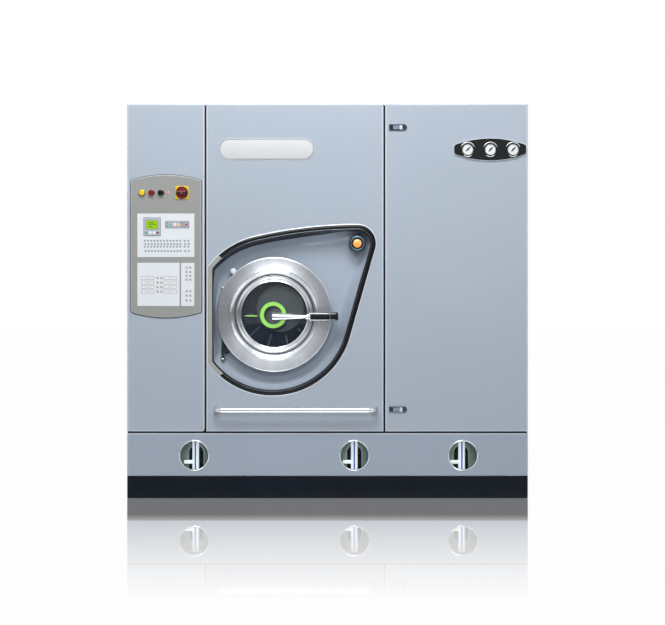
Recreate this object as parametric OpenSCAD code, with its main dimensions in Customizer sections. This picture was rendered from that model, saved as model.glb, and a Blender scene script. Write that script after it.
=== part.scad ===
// Dry cleaning machine, closed circuit, front loading.
// X to the right, Y to the back, Z up, origin on the floor under the middle of the cabinet.

/* [Cabinet] */
// Width of the cabinet
cab_w = 2005; // [1990:1:2040]
// Height of the cabinet
cab_h = 1970; // [1960:1:2040]
// Depth from the front panels' faces to the back panel's face
cab_d = 1450; // [1440:1:1500]
// Thickness of the side, back and top sheets
sheet = 2; // [1.5:0.1:3]
// Thickness of the doors' sheet
door_sheet = 2; // [1.5:0.1:2.5]
// Thickness of the fixed front panels' sheet
panel_sheet = 3; // [2:0.1:4]
// Depth of the doors' folded edges
door_fold = 22; // [20:0.5:23]
// Distance from the front faces back to the frame
frame_setback = 33; // [32:0.5:36]
// Gap between neighbouring front panels
seam = 7; // [4:0.5:10]
// Width of the control door
control_w = 388.5; // [384:0.5:389]
// Width of the central front panel
centre_w = 888; // [886:0.5:894]
// Side of the square frame tubes
post = 50; // [48:0.5:52]
// Wall of the frame tubes
post_wall = 3; // [2:0.5:5]
// Height of the deck's upper face
deck_z = 357; // [355:0.5:365]
// Thickness of the deck plate
deck_t = 4; // [3:0.5:6]

/* [Spill pan and lower panel] */
// Height of the spill pan
pan_h = 115; // [100:1:118]
// How far the pan stands out past the front panels
pan_lip = 5; // [2:0.5:10]
// Thickness of the pan's bottom
pan_floor = 4; // [3:0.5:8]
// Height of the lower panel
lower_h = 210; // [205:0.5:213]
// Radius of the round windows' clear opening
window_r = 70; // [60:0.5:76]
// Width of the windows' rims
window_rim = 7; // [5:0.5:10]
// Height of the windows' centres
window_z = 214; // [208:0.5:218]
// Distance from the cabinet's left side to the left window's centre
window_in1 = 336; // [322:0.5:352]
// Distance from the cabinet's right side to the middle window's centre
window_in2 = 867.5; // [852:0.5:882]
// Distance from the cabinet's right side to the right window's centre
window_in3 = 325; // [312:0.5:342]

/* [Tanks] */
// Distance from the front faces back to the tanks' fronts
tank_setback = 100; // [96:0.5:110]
// Length of the tanks front to back
tank_d = 1260; // [1200:1:1280]
// Height of the tanks
tank_h = 280; // [270:1:290]
// Wall of the tanks
tank_wall = 3; // [2:0.5:5]
// Width of each tank
tank_w = 520; // [480:1:530]
// Radius of the level tubes
level_r = 17; // [14:0.5:20]
// Distance from the front faces back to the level tubes' axes
level_setback = 70; // [60:0.5:72]

/* [Recess] */
// Radius of the recess's large curve
drop_r = 402; // [398:0.5:406]
// Distance from the central panel's left edge to the large curve's centre
drop_in = 332; // [329:0.5:337]
// Height of the large curve's centre
drop_z = 915; // [912:0.5:920]
// Radius of the recess's upper right corner
corner_r = 92.5; // [92:0.5:98]
// Distance from the central panel's left edge to the corner's centre
corner_in = 756.5; // [747:0.5:762]
// Height of the corner's centre
corner_z = 1274; // [1260:0.5:1290]
// Radius of the recess's long top curve
top_arc_r = 2250; // [1900:10:2600]
// Distance from the central panel's left edge to the recess's straight side
cut_margin = 9; // [8.5:0.5:12]
// Width of the recess's trim
trim_w = 26; // [24:0.5:28]
// Thickness of the trim
trim_t = 4; // [2:0.5:5]
// Depth of the recess behind the front face
recess_d = 100; // [98:0.5:104]
// Thickness of the recess's shell
recess_t = 3; // [2:0.5:4]
// Reach of the recess's rounded wall
recess_round = 50; // [44:0.5:51]

/* [Loading door] */
// Distance from the central panel's left edge to the door's centre
door_in = 339.5; // [337:0.5:342]
// Height of the door's centre
door_z = 917.5; // [914:0.5:920]
// Outer radius of the door ring
door_r = 288; // [284:0.5:289]
// Radius of the clear glass
glass_r = 165; // [155:0.5:168]
// Thickness of the glass
glass_t = 8; // [6:0.5:10]
// Distance from the front faces back to the ring's flat flange
ring_setback = 23; // [22.5:0.5:26]
// Thickness of the ring at its flange
ring_t = 25; // [22:0.5:26]
// Inner radius of the mouth collar
mouth_r = 205; // [200:0.5:206]
// Thickness of the mouth collar's wall
mouth_wall = 20; // [12:0.5:22]
// Radius of the door's hinge rod
rod_r = 6; // [5:0.5:6.5]
// Distance of the hinge rod's axis from the ring's centre
rod_reach = 259.5; // [258:0.5:261]
// Height of the lever's axis
lever_z = 911; // [905:0.5:917]
// Length of the lever from its pivot to its end
lever_l = 304.5; // [290:0.5:315]
// Radius of the lever's grip
grip_r = 13; // [12:0.5:14]
// Free depth behind the lever's axis, to the ring's flange
lever_off = 53; // [50:0.5:60]

/* [Drum and casing] */
// Radius of the casing's outside
casing_r = 440; // [436:1:446]
// Thickness of the casing's sheet
casing_t = 4; // [3:0.5:6]
// Distance from the front faces back to the casing's front plate
casing_setback = 125; // [122:0.5:130]
// Length of the casing
casing_l = 660; // [640:1:680]
// Radius of the drum's outside
drum_r = 410; // [400:1:415]
// Thickness of the drum's sheet
drum_t = 4; // [3:0.5:5]
// Space between the casing's and the drum's front plates
drum_gap = 25; // [20:0.5:30]
// Length of the drum
drum_l = 595; // [570:1:598]
// Radius of the drum's mouth
drum_mouth_r = 200; // [190:1:203]
// Height of the drum's lifting ribs
lifter_h = 55; // [40:1:62]
// Width of the lifting ribs at their base
lifter_w = 70; // [50:1:90]
// Number of the lifting ribs
lifter_n = 3; // [3:1:4]
// Radius of the drum's shaft
shaft_r = 35; // [30:0.5:40]
// Radial play of shafts in their bores
running_fit = 0.05; // [0.03:0.01:0.08]
// Length of the bearing housing
bearing_l = 180; // [150:1:190]
// Radius of the drum's pulley
pulley_r = 220; // [200:1:225]
// Width of the pulleys
pulley_w = 40; // [30:1:44]
// Radius of the motor's pulley
motor_pulley_r = 60; // [50:1:70]
// Radius of the drive motor
motor_r = 105; // [90:1:110]
// Length of the drive motor
motor_l = 180; // [150:1:190]
// Distance across the front from the drum's axis to the drive motor's
motor_in = 327.5; // [317.5:1:347.5]
// Radius of the motors' shafts
spindle_r = 14; // [10:0.5:18]
// Thickness of the belt
belt_t = 8; // [5:0.5:10]

/* [Air circuit] */
// Width of the air box
air_w = 500; // [460:1:520]
// Depth of the air box
air_d = 560; // [520:1:580]
// Height of the air box's underside
air_z = 1440; // [1430:1:1450]
// Height of the air box
air_h = 400; // [380:1:420]
// Thickness of the air box's sheet
air_t = 3; // [2:0.5:4]
// Radius of the fan's housing
fan_r = 170; // [160:1:175]
// Width of the fan's housing
fan_w = 160; // [140:1:170]
// Length of the duct from the air box to the fan
fan_duct = 120; // [100:1:130]
// Number of the fan's blades
blade_n = 12; // [8:1:16]

/* [Rear plant] */
// Radius of the still
still_r = 210; // [200:1:215]
// Height of the still
still_h = 800; // [700:1:900]
// Distance from the cabinet's left side to the still's axis
still_in = 257.5; // [247.5:1:262.5]
// Radius of the solvent filter
filter_r = 180; // [160:1:190]
// Height of the solvent filter
filter_h = 1000; // [800:1:1100]
// Distance from the cabinet's right side to the solvent filter's axis
filter_in = 302.5; // [282.5:1:322.5]
// Distance of the tall vessels' axes behind the cabinet's middle
vessel_y = 400; // [385:1:410]
// Radius of the compressor
compressor_r = 110; // [100:1:120]
// Height of the compressor
compressor_h = 380; // [340:1:420]
// Distance from the solvent filter's axis to the compressor's
compressor_in = 340; // [330:1:360]
// Radius of the pump's motor
pump_r = 80; // [70:1:85]
// Outer radius of the pipe sockets
socket_r = 20; // [18:0.5:22]
// Bore radius of the pipe sockets
socket_bore = 12.1; // [11:0.1:13]
// Depth of the pipe sockets' bores
socket_l = 20; // [18:0.5:25]
// How far the pipe sockets stand out at the back
socket_out = 15; // [10:0.5:20]
// Outer radius of the exhaust spigot
spigot_r = 75; // [70:0.5:80]
// Length of the exhaust spigot above the top
spigot_l = 50; // [40:0.5:60]

/* [Controls] */
// Distance from the top down to the push buttons' row
button_drop = 442.5; // [435:0.5:450]
// Radius of the push buttons' caps
button_r = 16; // [14:0.5:17]
// Distance between push buttons
button_pitch = 47; // [44:0.5:50]
// Distance from the cabinet's left side to the yellow button
button_in = 77; // [72:0.5:82]
// Travel of the push buttons
button_travel = 4; // [3:0.5:5]
// Side of the main switch's square plate
switch_plate = 68; // [60:0.5:70]
// Distance from the cabinet's left side to the main switch
switch_in = 276.5; // [272:0.5:280]
// Radius of the main switch's knob
knob_r = 29; // [26:0.5:30]
// Thickness of the control bezel
bezel_t = 8; // [6:0.5:10]
// Radius of the lamp housing
lamp_r = 40; // [36:0.5:42]
// Radius of the lamp button
lamp_dome_r = 22.5; // [20:0.5:25]
// Travel of the lamp button
lamp_travel = 5; // [3:0.5:6]
// Radius of the grab rail's tube
rail_r = 12.5; // [10:0.5:15]
// Height of the grab rail
rail_z = 437; // [425:0.5:450]
// Distance from the front faces to the grab rail's axis
rail_off = 60; // [50:0.5:70]
// Radius of the gauges' bezels
gauge_r = 37; // [34:0.5:40]
// Distance between gauges
gauge_pitch = 113.25; // [110:0.25:116]
// Distance from the top down to the gauges' centres
gauge_drop = 227; // [220:0.5:235]
// Radius of the door hinges' pins
pin_r = 4; // [3:0.5:4.5]
// Width of the latches
latch_w = 89.5; // [84:0.5:95]
// Height of the latches
latch_h = 33.5; // [30:0.5:36]

/* [Hidden] */

// Steps of a full turn on round pieces, and of the faceted hulls
round_fn = 96;
hull_fn = 32;
// Clearance between seated curved pieces, and the small overlap that joins features of one solid
seat = 0.3;
weld = 0.5;

half_w = cab_w / 2;
front_y = -cab_d / 2;
back_y = cab_d / 2;
frame_y = front_y + frame_setback;
frame_back_y = back_y - sheet;
side_x = half_w - sheet;
frame_top = cab_h - sheet;
lower_top = pan_h + lower_h;
upper_z = lower_top + seam;
control_x1 = -half_w + control_w;
centre_x0 = control_x1 + seam;
centre_x1 = centre_x0 + centre_w;
service_x0 = centre_x1 + seam;
door_back_y = front_y + door_fold;
rail_top = deck_z - deck_t;
left_post_x = (control_x1 + centre_x0) / 2;
right_post_x = (centre_x1 + service_x0) / 2;
tank_y = front_y + tank_setback;
window_xs = [-half_w + window_in1, half_w - window_in2, half_w - window_in3];
// Door hinges: the axis lies this far in from the side and back from the front
pivot_in = 12;
pivot_x = half_w - pivot_in;
pivot_y = front_y + pivot_in;
// Recess and door
drop_x = centre_x0 + drop_in;
corner_x = centre_x0 + corner_in;
door_x = centre_x0 + door_in;
cut_x = centre_x0 + cut_margin;
floor_y = front_y + recess_d;
ring_y = front_y + ring_setback;
ring_back = ring_y + ring_t;
rod_x = door_x - rod_reach;
rod_y = ring_back + rod_r + 3;
arm_t = 10;
ear_r = rod_r + 2.5;
mouth_out = mouth_r + mouth_wall;
seal_t = 8.7;
casing_y = front_y + casing_setback;
casing_back = casing_y + casing_l;
drum_y = casing_y + drum_gap;
drum_back = drum_y + drum_l;
pulley_y = casing_back + bearing_l + 20;
lever_x = door_x + 295;
lever_y = ring_y - lever_off;
eye_r = 13;
handle_pin_r = 5;
// Controls
button_z = cab_h - button_drop;
button_x = -half_w + button_in;
switch_x = -half_w + switch_in;
gauge_z = cab_h - gauge_drop;
gauge_margin = 6.75;
gauge_end = 32.5;
gauge_half = gauge_pitch + gauge_r + gauge_end;
gauge_x = half_w - gauge_margin - gauge_half;
bezel_y = front_y - bezel_t;
bezel_x0 = -half_w + 17;
bezel_x1 = control_x1 - 14;
bezel_z0 = button_z - 599;
bezel_z1 = button_z + 63;
pad_x0 = bezel_x0 + 36;
pad_x1 = bezel_x1 - 37;
stem_r = button_r - 5;
collar_t = 5;
plate_t = 4;
// Plant
motor_x = door_x + motor_in;
still_x = -half_w + still_in;
filter_x = half_w - filter_in;
compressor_x = filter_x - compressor_in;
motor_z = deck_z + motor_r + 20;
motor_front = pulley_y - 10;
air_x0 = door_x - 292.5;
air_x1 = air_x0 + air_w;
air_y = casing_y + 60;
fan_x = air_x1 + fan_duct + fan_r;
fan_y = air_y + 140;
fan_z = air_z + air_h - fan_r - 10;
fan_back = fan_y + fan_w;
spigot_x = air_x0 + air_w / 2;
spigot_y = air_y + air_d - spigot_r - 50;
elec_x0 = -side_x + post + 5;
elec_w = 215;
elec_y = frame_y + post + 2;
elec_d = 200;
elec_top = button_z - 27;
leg_h = 90;
// Pipes to the back: place across, height, and the axis and radius of the vessel they reach
pipes = [[still_x, 1000, still_r], [still_x, 620, still_r], [compressor_x, 600, compressor_r],
    [filter_x, 1150, filter_r], [filter_x, 620, filter_r]];

// ---- Building blocks ----

module block(x0, x1, y0, y1, z0, z1)
    translate([x0, y0, z0]) cube([x1 - x0, y1 - y0, z1 - z0]);

module rod_along_x(y, z, r, x0, x1)
    translate([x0, y, z]) rotate([0, 90, 0]) cylinder(h = x1 - x0, r = r, $fn = round_fn);

module rod_along_y(x, z, r, y0, y1)
    translate([x, y0, z]) rotate([-90, 0, 0]) cylinder(h = y1 - y0, r = r, $fn = round_fn);

module rod_along_z(x, y, r, z0, z1)
    translate([x, y, z0]) cylinder(h = z1 - z0, r = r, $fn = round_fn);

// A slab of a front outline, drawn in X and Z, from y0 to y1
module slab(y0, y1)
    translate([0, y1, 0]) rotate([90, 0, 0]) linear_extrude(y1 - y0) children();

// A turned piece on an axis along Y, its profile drawn in radius and Y
module turned(x, z)
    translate([x, 0, z]) rotate([-90, 0, 0]) rotate_extrude($fn = round_fn) children();

// A sheet tray that opens to the back: front sheet and four folded edges
module tray(x0, x1, y1, z0, z1, t)
    difference() {
        block(x0, x1, front_y, y1, z0, z1);
        block(x0 + t, x1 - t, front_y + t, y1 + 1, z0 + t, z1 - t);
    }

// An upright round vessel of sheet with a domed top, a drain and three legs
module vessel(x, y, r, h, t) {
    z0 = deck_z + leg_h;
    z1 = z0 + h;
    dome = r * 0.35;
    drain = 15;
    translate([x, y, 0]) rotate_extrude($fn = round_fn)
        polygon([[drain, z0], [r, z0], [r, z1], [r / 2, z1 + dome], [0, z1 + dome],
            [0, z1 + dome - t], [r / 2 - t / 2, z1 + dome - t], [r - t, z1], [r - t, z0 + t],
            [drain, z0 + t]]);
    for (a = [90, 210, 330])
        rod_along_z(x + (r - 35) * cos(a), y + (r - 35) * sin(a), 20, deck_z, z0 + t / 2);
}

// ---- Recess outline ----

// Points of an arc about c from angle a0 to a1
function arc(c, r, a0, a1, n) =
    [for (i = [0:n - 1]) let (a = a0 + (a1 - a0) * i / n) [c[0] + r * cos(a), c[1] + r * sin(a)]];

function line(p, q, n) = [for (i = [0:n - 1]) p + (q - p) * i / n];

drop_c = [drop_x, drop_z];
corner_c = [corner_x, corner_z];
span = norm(corner_c - drop_c);
bearing = atan2(corner_z - drop_z, corner_x - drop_x);
tangent = bearing - acos((drop_r - corner_r) / span);
arm1 = top_arc_r - drop_r;
arm2 = top_arc_r - corner_r;
lean = bearing - acos((arm1 * arm1 + span * span - arm2 * arm2) / (2 * arm1 * span));
top_c = drop_c + arm1 * [cos(lean), sin(lean)];
corner_end = atan2(corner_z - top_c[1], corner_x - top_c[0]);

// The drop outline, drawn in by off, with its straight left side drawn in by cut_off
function drop(off, cut_off) =
    let (r = drop_r - off, x = cut_x + cut_off, a = acos((x - drop_x) / r),
        low = drop_c + r * [cos(a), -sin(a)], high = drop_c + r * [cos(a), sin(a)],
        right0 = drop_c + r * [cos(tangent), sin(tangent)],
        right1 = corner_c + (corner_r - off) * [cos(tangent), sin(tangent)])
    concat(arc(drop_c, r, 360 - a, 360 + tangent, 26), line(right0, right1, 6),
        arc(corner_c, corner_r - off, tangent, corner_end, 10),
        arc(top_c, top_arc_r - off, corner_end, lean + 180, 8),
        arc(drop_c, r, lean + 180, a, 8), line(high, low, 12));

module drop_shape(off) polygon(drop(off, off));

// The mouth's circle, seen from the door's centre in the directions of the outline's points
function mouth_ring(r) =
    [for (p = drop(trim_w, trim_w)) let (d = p - [door_x, door_z])
        [door_x, door_z] + r * d / norm(d)];

function ring_at(points, y) = [for (p = points) [p[0], y, p[1]]];

// ---- Frame and cabinet ----

module square_tube(x0, x1, y0, y1, z0, z1, axis) {
    w = post_wall;
    in_x = axis == 0 ? -1 : w;
    in_y = axis == 1 ? -1 : w;
    in_z = axis == 2 ? -1 : w;
    difference() {
        block(x0, x1, y0, y1, z0, z1);
        block(x0 + in_x, x1 - in_x, y0 + in_y, y1 - in_y, z0 + in_z, z1 - in_z);
    }
}

corner_xs = [-side_x, side_x - post];
corner_ys = [frame_y, frame_back_y - post];
mid_xs = [left_post_x - post / 2, right_post_x - post / 2];

module frame_posts() color("slategray") {
    for (x = corner_xs, y = corner_ys)
        square_tube(x, x + post, y, y + post, pan_floor, frame_top, 2);
    for (x = mid_xs)
        square_tube(x, x + post, frame_y, frame_y + post, rail_top, frame_top - post, 2);
}

module rails_at(z0) {
    for (y = corner_ys)
        square_tube(-side_x + post, side_x - post, y, y + post, z0, z0 + post, 0);
    for (x = corner_xs)
        square_tube(x, x + post, frame_y + post + seat, frame_back_y - post - seat,
            z0, z0 + post, 1);
}

module frame_rails() color("slategray") {
    rails_at(frame_top - post);
    rails_at(rail_top - post);
    difference() {
        block(-side_x, side_x, frame_y, frame_back_y, rail_top + seat, deck_z);
        for (x = corner_xs, y = corner_ys)
            block(x, x + post, y, y + post, rail_top - 1, deck_z + 1);
        for (x = mid_xs)
            block(x, x + post, frame_y, frame_y + post, rail_top - 1, deck_z + 1);
    }
}

module spill_pan() color([0.1, 0.13, 0.17])
    difference() {
        block(-half_w, half_w, front_y - pan_lip, back_y, 0, pan_h);
        block(-side_x, side_x, front_y - pan_lip + sheet, frame_back_y, pan_floor, pan_h + 1);
    }

module side_panels() color([0.65, 0.7, 0.76]) {
    block(-half_w, -side_x, frame_y, frame_back_y, pan_h, frame_top);
    block(side_x, half_w, frame_y, frame_back_y, pan_h, frame_top);
}

module back_panel() color([0.65, 0.7, 0.76])
    difference() {
        block(-half_w, half_w, frame_back_y, back_y, pan_h, frame_top);
        for (p = pipes)
            rod_along_y(p[0], p[1], socket_r + seat, frame_back_y - 1, back_y + 1);
    }

module top_panel() color([0.65, 0.7, 0.76])
    difference() {
        union() {
            block(-half_w, half_w, frame_y, back_y, frame_top, cab_h);
            rod_along_z(spigot_x, spigot_y, spigot_r, cab_h - weld, cab_h + spigot_l);
        }
        rod_along_z(spigot_x, spigot_y, spigot_r - air_t, frame_top - 1, cab_h + spigot_l + 1);
    }

module lower_panel() color([0.62, 0.67, 0.73])
    difference() {
        tray(-half_w, half_w, frame_y, pan_h, lower_top, door_sheet);
        for (x = window_xs)
            rod_along_y(x, window_z, window_r + 2, front_y - 1, front_y + door_sheet + 1);
    }

module window_rims() color("silver")
    for (x = window_xs)
        turned(x, window_z)
            polygon([[window_r, front_y - 3], [window_r + window_rim - 2, front_y - 3],
                [window_r + window_rim, front_y], [window_r, front_y]]);

module window_glasses() color("lightcyan", 0.4)
    for (x = window_xs)
        rod_along_y(x, window_z, window_r + 2 - seat, front_y, front_y + 3);

module front_panel() color([0.65, 0.7, 0.76])
    difference() {
        tray(centre_x0, centre_x1, frame_y, upper_z, cab_h, panel_sheet);
        slab(front_y - 1, front_y + panel_sheet + 1) drop_shape(8);
    }

// ---- Tanks and level tubes ----

level_y = front_y + level_setback;
low_fitting = 125;
high_fitting = pan_floor + tank_h - 18;

module level_gauges() color("white")
    for (x = window_xs) {
        rod_along_z(x, level_y, level_r, low_fitting - 20, high_fitting + 15);
        for (z = [low_fitting, high_fitting])
            rod_along_y(x, z, level_r - 5, level_y, tank_y);
        rod_along_x(level_y, window_z - 34, level_r - 6, x - 120, x);
        rod_along_y(x - 110, window_z - 34, level_r - 6, level_y, tank_y);
    }

module solvent_tanks() color([0.55, 0.6, 0.6])
    for (x = window_xs) {
        x0 = x - tank_w / 2;
        x1 = x + tank_w / 2;
        top = pan_floor + tank_h;
        difference() {
            block(x0, x1, tank_y, tank_y + tank_d, pan_floor, top);
            block(x0 + tank_wall, x1 - tank_wall, tank_y + tank_wall,
                tank_y + tank_d - tank_wall, pan_floor + tank_wall, top + 1);
        }
        block(x0, x1, tank_y, tank_y + tank_d, top + seat, top + seat + tank_wall);
    }

// ---- Recess, trim, lamp and rail ----

// Rings of the shell from its flange down the rounded wall to the mouth, shifted out by t
dish_steps = 7;
dish_y0 = front_y + panel_sheet;
dish_depth = floor_y - dish_y0;

function dish_rings(t) =
    concat([ring_at(drop(-4, -4), dish_y0 + t)],
        [for (i = [0:dish_steps]) let (a = 90 * i / dish_steps, off = recess_round * (1 - cos(a)))
            ring_at(drop(trim_w - 2 - t + off, trim_w - 1 - t + 4 * (1 - cos(a))),
                dish_y0 + t + dish_depth * sin(a))],
        [ring_at(mouth_ring(mouth_out + 12), floor_y + t)]);

module recess_dish() color([0.58, 0.64, 0.7])
    difference() {
        front = dish_rings(0);
        back = dish_rings(recess_t);
        rings = concat(front, [for (i = [len(back) - 1:-1:0]) back[i]]);
        n = len(rings[0]);
        m = len(rings);
        polyhedron(points = [for (r = rings, p = r) p],
            faces = [for (j = [0:m - 1], i = [0:n - 1], k = [0, 1])
                let (a = j * n + i, b = j * n + (i + 1) % n,
                    c = ((j + 1) % m) * n + (i + 1) % n, d = ((j + 1) % m) * n + i)
                k == 0 ? [a, b, c] : [a, c, d]]);
        rod_along_y(corner_x, corner_z, lamp_r + seat, front_y, floor_y + 20);
    }

// The light strip takes the straight left side and both bends beside it
module strip_zone(g)
    translate([cut_x - 50 + g, drop_z - 340 + g]) square([125 - 2 * g, 630 - 2 * g]);

module trim_shape()
    difference() {
        drop_shape(0);
        drop_shape(trim_w);
    }

module recess_trim() color([0.1, 0.11, 0.13]) {
    slab(front_y - trim_t, front_y)
        difference() {
            trim_shape();
            strip_zone(0);
        }
    slab(front_y - trim_t, front_y)
        intersection() {
            trim_shape();
            strip_zone(seat);
        }
}

lamp_y = front_y + 8;

module lamp_housing() color([0.12, 0.13, 0.15])
    turned(corner_x, corner_z)
        polygon([[lamp_dome_r + running_fit, lamp_y + 6], [lamp_dome_r + 7, lamp_y],
            [lamp_r, lamp_y], [lamp_r, floor_y + 15], [lamp_dome_r + running_fit, floor_y + 15]]);

module lamp_button() color("orange")
    turned(corner_x, corner_z)
        polygon(concat([for (a = [0:10:90]) [lamp_dome_r * cos(a), lamp_y + 6 - 9 * sin(a)]],
            [[0, lamp_y + 50], [lamp_dome_r, lamp_y + 50]]));

rail_x0 = centre_x0 + 42;
rail_x1 = centre_x1 - 34;
rail_y = front_y - rail_off;
rail_bend = 35;

module grab_rail() color("silver") {
    difference() {
        rod_along_x(rail_y, rail_z, rail_r, rail_x0 + rail_bend, rail_x1 - rail_bend);
        rod_along_x(rail_y, rail_z, rail_r - 2, rail_x0 + rail_bend - 1, rail_x1 - rail_bend + 1);
    }
    for (e = [[rail_x0, rail_x0 + rail_bend, 180], [rail_x1, rail_x1 - rail_bend, 270]]) {
        translate([e[1], rail_y + rail_bend, rail_z]) rotate([0, 0, e[2]])
            rotate_extrude(angle = 90, $fn = round_fn) translate([rail_bend, 0])
                difference() {
                    circle(r = rail_r, $fn = hull_fn);
                    circle(r = rail_r - 2, $fn = hull_fn);
                }
        difference() {
            union() {
                rod_along_y(e[0], rail_z, rail_r, rail_y + rail_bend, front_y);
                rod_along_y(e[0], rail_z, rail_r + 10, front_y - 4, front_y);
            }
            rod_along_y(e[0], rail_z, rail_r - 2, rail_y + rail_bend - 1, front_y + 1);
        }
    }
}

// ---- Loading door ----

module door_ring() color("gainsboro")
    turned(door_x, door_z)
        polygon([[door_r, ring_back], [door_r, ring_y + 4], [door_r - 4, ring_y],
            [door_r - 48, ring_y], [door_r - 51, ring_y - 6], [glass_r + 62, ring_y - 6],
            [glass_r + 58, ring_y + 1], [glass_r + 48, ring_y + 7], [glass_r + 36, ring_y + 8],
            [glass_r + 34, ring_y + 14], [glass_r + 26, ring_y + 14], [glass_r + 24, ring_y + 2],
            [glass_r + 20, ring_y - 4], [glass_r + 6, ring_y - 4], [glass_r, ring_y + 3],
            [glass_r, ring_back - glass_t - 7], [glass_r + 7, ring_back - glass_t - 7],
            [glass_r + 7, ring_back], [glass_r + 69, ring_back], [glass_r + 75, ring_y + 4],
            [door_r - 14, ring_y + 4], [door_r - 10, ring_back]]);

module door_glass() color("lightcyan", 0.35)
    rod_along_y(door_x, door_z, glass_r + 7 - seat, ring_back - 7 - glass_t, ring_back - 7);

// The lip that meets the mouth collar, and the gasket that holds the glass
module door_seal() color([0.08, 0.08, 0.09]) {
    turned(door_x, door_z)
        polygon([[mouth_r - 2, ring_back], [mouth_out + 2, ring_back],
            [mouth_out + 2, ring_back + seal_t], [mouth_r - 2, ring_back + seal_t]]);
    turned(door_x, door_z)
        polygon([[glass_r - 2, ring_back - 7], [glass_r + 7 - seat, ring_back - 7],
            [glass_r + 7 - seat, ring_back], [glass_r - 2, ring_back]]);
}

arm_h = 26;
low_arm_z = door_z - 192;
high_arm_z = door_z + 82;
ear_t = 9;
ear_w = ear_r - 1.5;

module hinge_arm(z, reach)
    difference() {
        union() {
            rod_along_z(rod_x, rod_y, ear_r, z, z + arm_h);
            block(rod_x, rod_x + reach, ring_back, ring_back + arm_t, z, z + arm_h);
        }
        rod_along_z(rod_x, rod_y, rod_r + running_fit, z - 1, z + arm_h + 1);
    }

module door_hinge_arms() color("gainsboro") {
    hinge_arm(low_arm_z, 97);
    hinge_arm(high_arm_z, 42);
}

module door_hinge_bracket() color([0.3, 0.34, 0.38]) {
    rod_along_z(rod_x, rod_y, rod_r, low_arm_z - 34, high_arm_z + 50);
    rod_along_z(rod_x, rod_y, ear_r, low_arm_z - 34, low_arm_z - 22);
    block(rod_x - ear_w, rod_x + 27, floor_y - 4, floor_y, low_arm_z - ear_t - 1, high_arm_z + 48);
    for (z = [low_arm_z - ear_t - 1, low_arm_z + arm_h + 1, high_arm_z - ear_t - 1,
            high_arm_z + arm_h + 1]) {
        rod_along_z(rod_x, rod_y, ear_r, z, z + ear_t);
        block(rod_x - ear_w, rod_x + ear_w, rod_y, floor_y - 4 + weld, z, z + ear_t);
    }
}

mount_foot = 6;

module handle_mount() color([0.1, 0.1, 0.11]) {
    block(lever_x - 48, lever_x + 26, ring_y - mount_foot, ring_y, lever_z - 31, lever_z + 31);
    for (s = [-1, 1])
        block(lever_x - 18, lever_x + 26, lever_y - 14, ring_y - mount_foot + weld,
            lever_z + s * 19.5 - 5.5, lever_z + s * 19.5 + 5.5);
    rod_along_z(lever_x, lever_y, handle_pin_r, lever_z - 29, lever_z + 29);
}

core_r = 7;
grip_s0 = 17.5;
grip_s1 = 113;

module door_handle() color("gainsboro")
    difference() {
        union() {
            rod_along_z(lever_x, lever_y, eye_r, lever_z - eye_r, lever_z + eye_r);
            translate([lever_x, lever_y, lever_z]) rotate([0, -90, 0])
                rotate_extrude($fn = round_fn)
                    polygon([[0, 8], [core_r, 8], [core_r, grip_s1 + 2], [13.5, grip_s1 + 2],
                        [13.5, grip_s1 + 23], [8, grip_s1 + 25], [12, lever_l - 22],
                        [16.5, lever_l - 10], [16.5, lever_l - 3], [12, lever_l], [0, lever_l]]);
        }
        rod_along_z(lever_x, lever_y, handle_pin_r + running_fit,
            lever_z - eye_r - 1, lever_z + eye_r + 1);
    }

module handle_grip() color([0.05, 0.05, 0.06])
    difference() {
        rod_along_x(lever_y, lever_z, grip_r, lever_x - grip_s1, lever_x - grip_s0);
        rod_along_x(lever_y, lever_z, core_r + running_fit,
            lever_x - grip_s1 - 1, lever_x - grip_s0 + 1);
    }

// ---- Casing, drum and drive ----

neck_x0 = door_x - 130;
neck_x1 = door_x + 130;
neck_y0 = air_y + 120;
neck_y1 = air_y + 420;

module casing() color("lightsteelblue")
    difference() {
        union() {
            turned(door_x, door_z)
                polygon([[mouth_out, casing_y], [casing_r, casing_y], [casing_r, casing_back],
                    [shaft_r + 20, casing_back], [shaft_r + 20, casing_back - casing_t],
                    [casing_r - casing_t, casing_back - casing_t],
                    [casing_r - casing_t, casing_y + casing_t], [mouth_out, casing_y + casing_t]]);
            difference() {
                for (y = [casing_y + 60, casing_back - 110])
                    block(door_x - 230, door_x + 230, y, y + 50, deck_z, door_z - 360);
                rod_along_y(door_x, door_z, casing_r - casing_t / 2, casing_y, casing_back);
            }
        }
        block(neck_x0 + air_t, neck_x1 - air_t, neck_y0 + air_t, neck_y1 - air_t,
            door_z + drum_r + 5, air_z);
    }

// Collar in the front plate's hole, which the loading door closes against
module casing_mouth() color("lightsteelblue")
    turned(door_x, door_z)
        polygon([[mouth_r, ring_back + seal_t + seat], [mouth_out, ring_back + seal_t + seat],
            [mouth_out, casing_y + casing_t], [mouth_r, casing_y + casing_t]]);

module bearing_housing() color("dimgray")
    turned(door_x, door_z)
        polygon([[shaft_r + running_fit, casing_back], [shaft_r + 95, casing_back],
            [shaft_r + 95, casing_back + 12], [shaft_r + 45, casing_back + 12],
            [shaft_r + 45, casing_back + bearing_l], [shaft_r + running_fit, casing_back + bearing_l]]);

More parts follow.
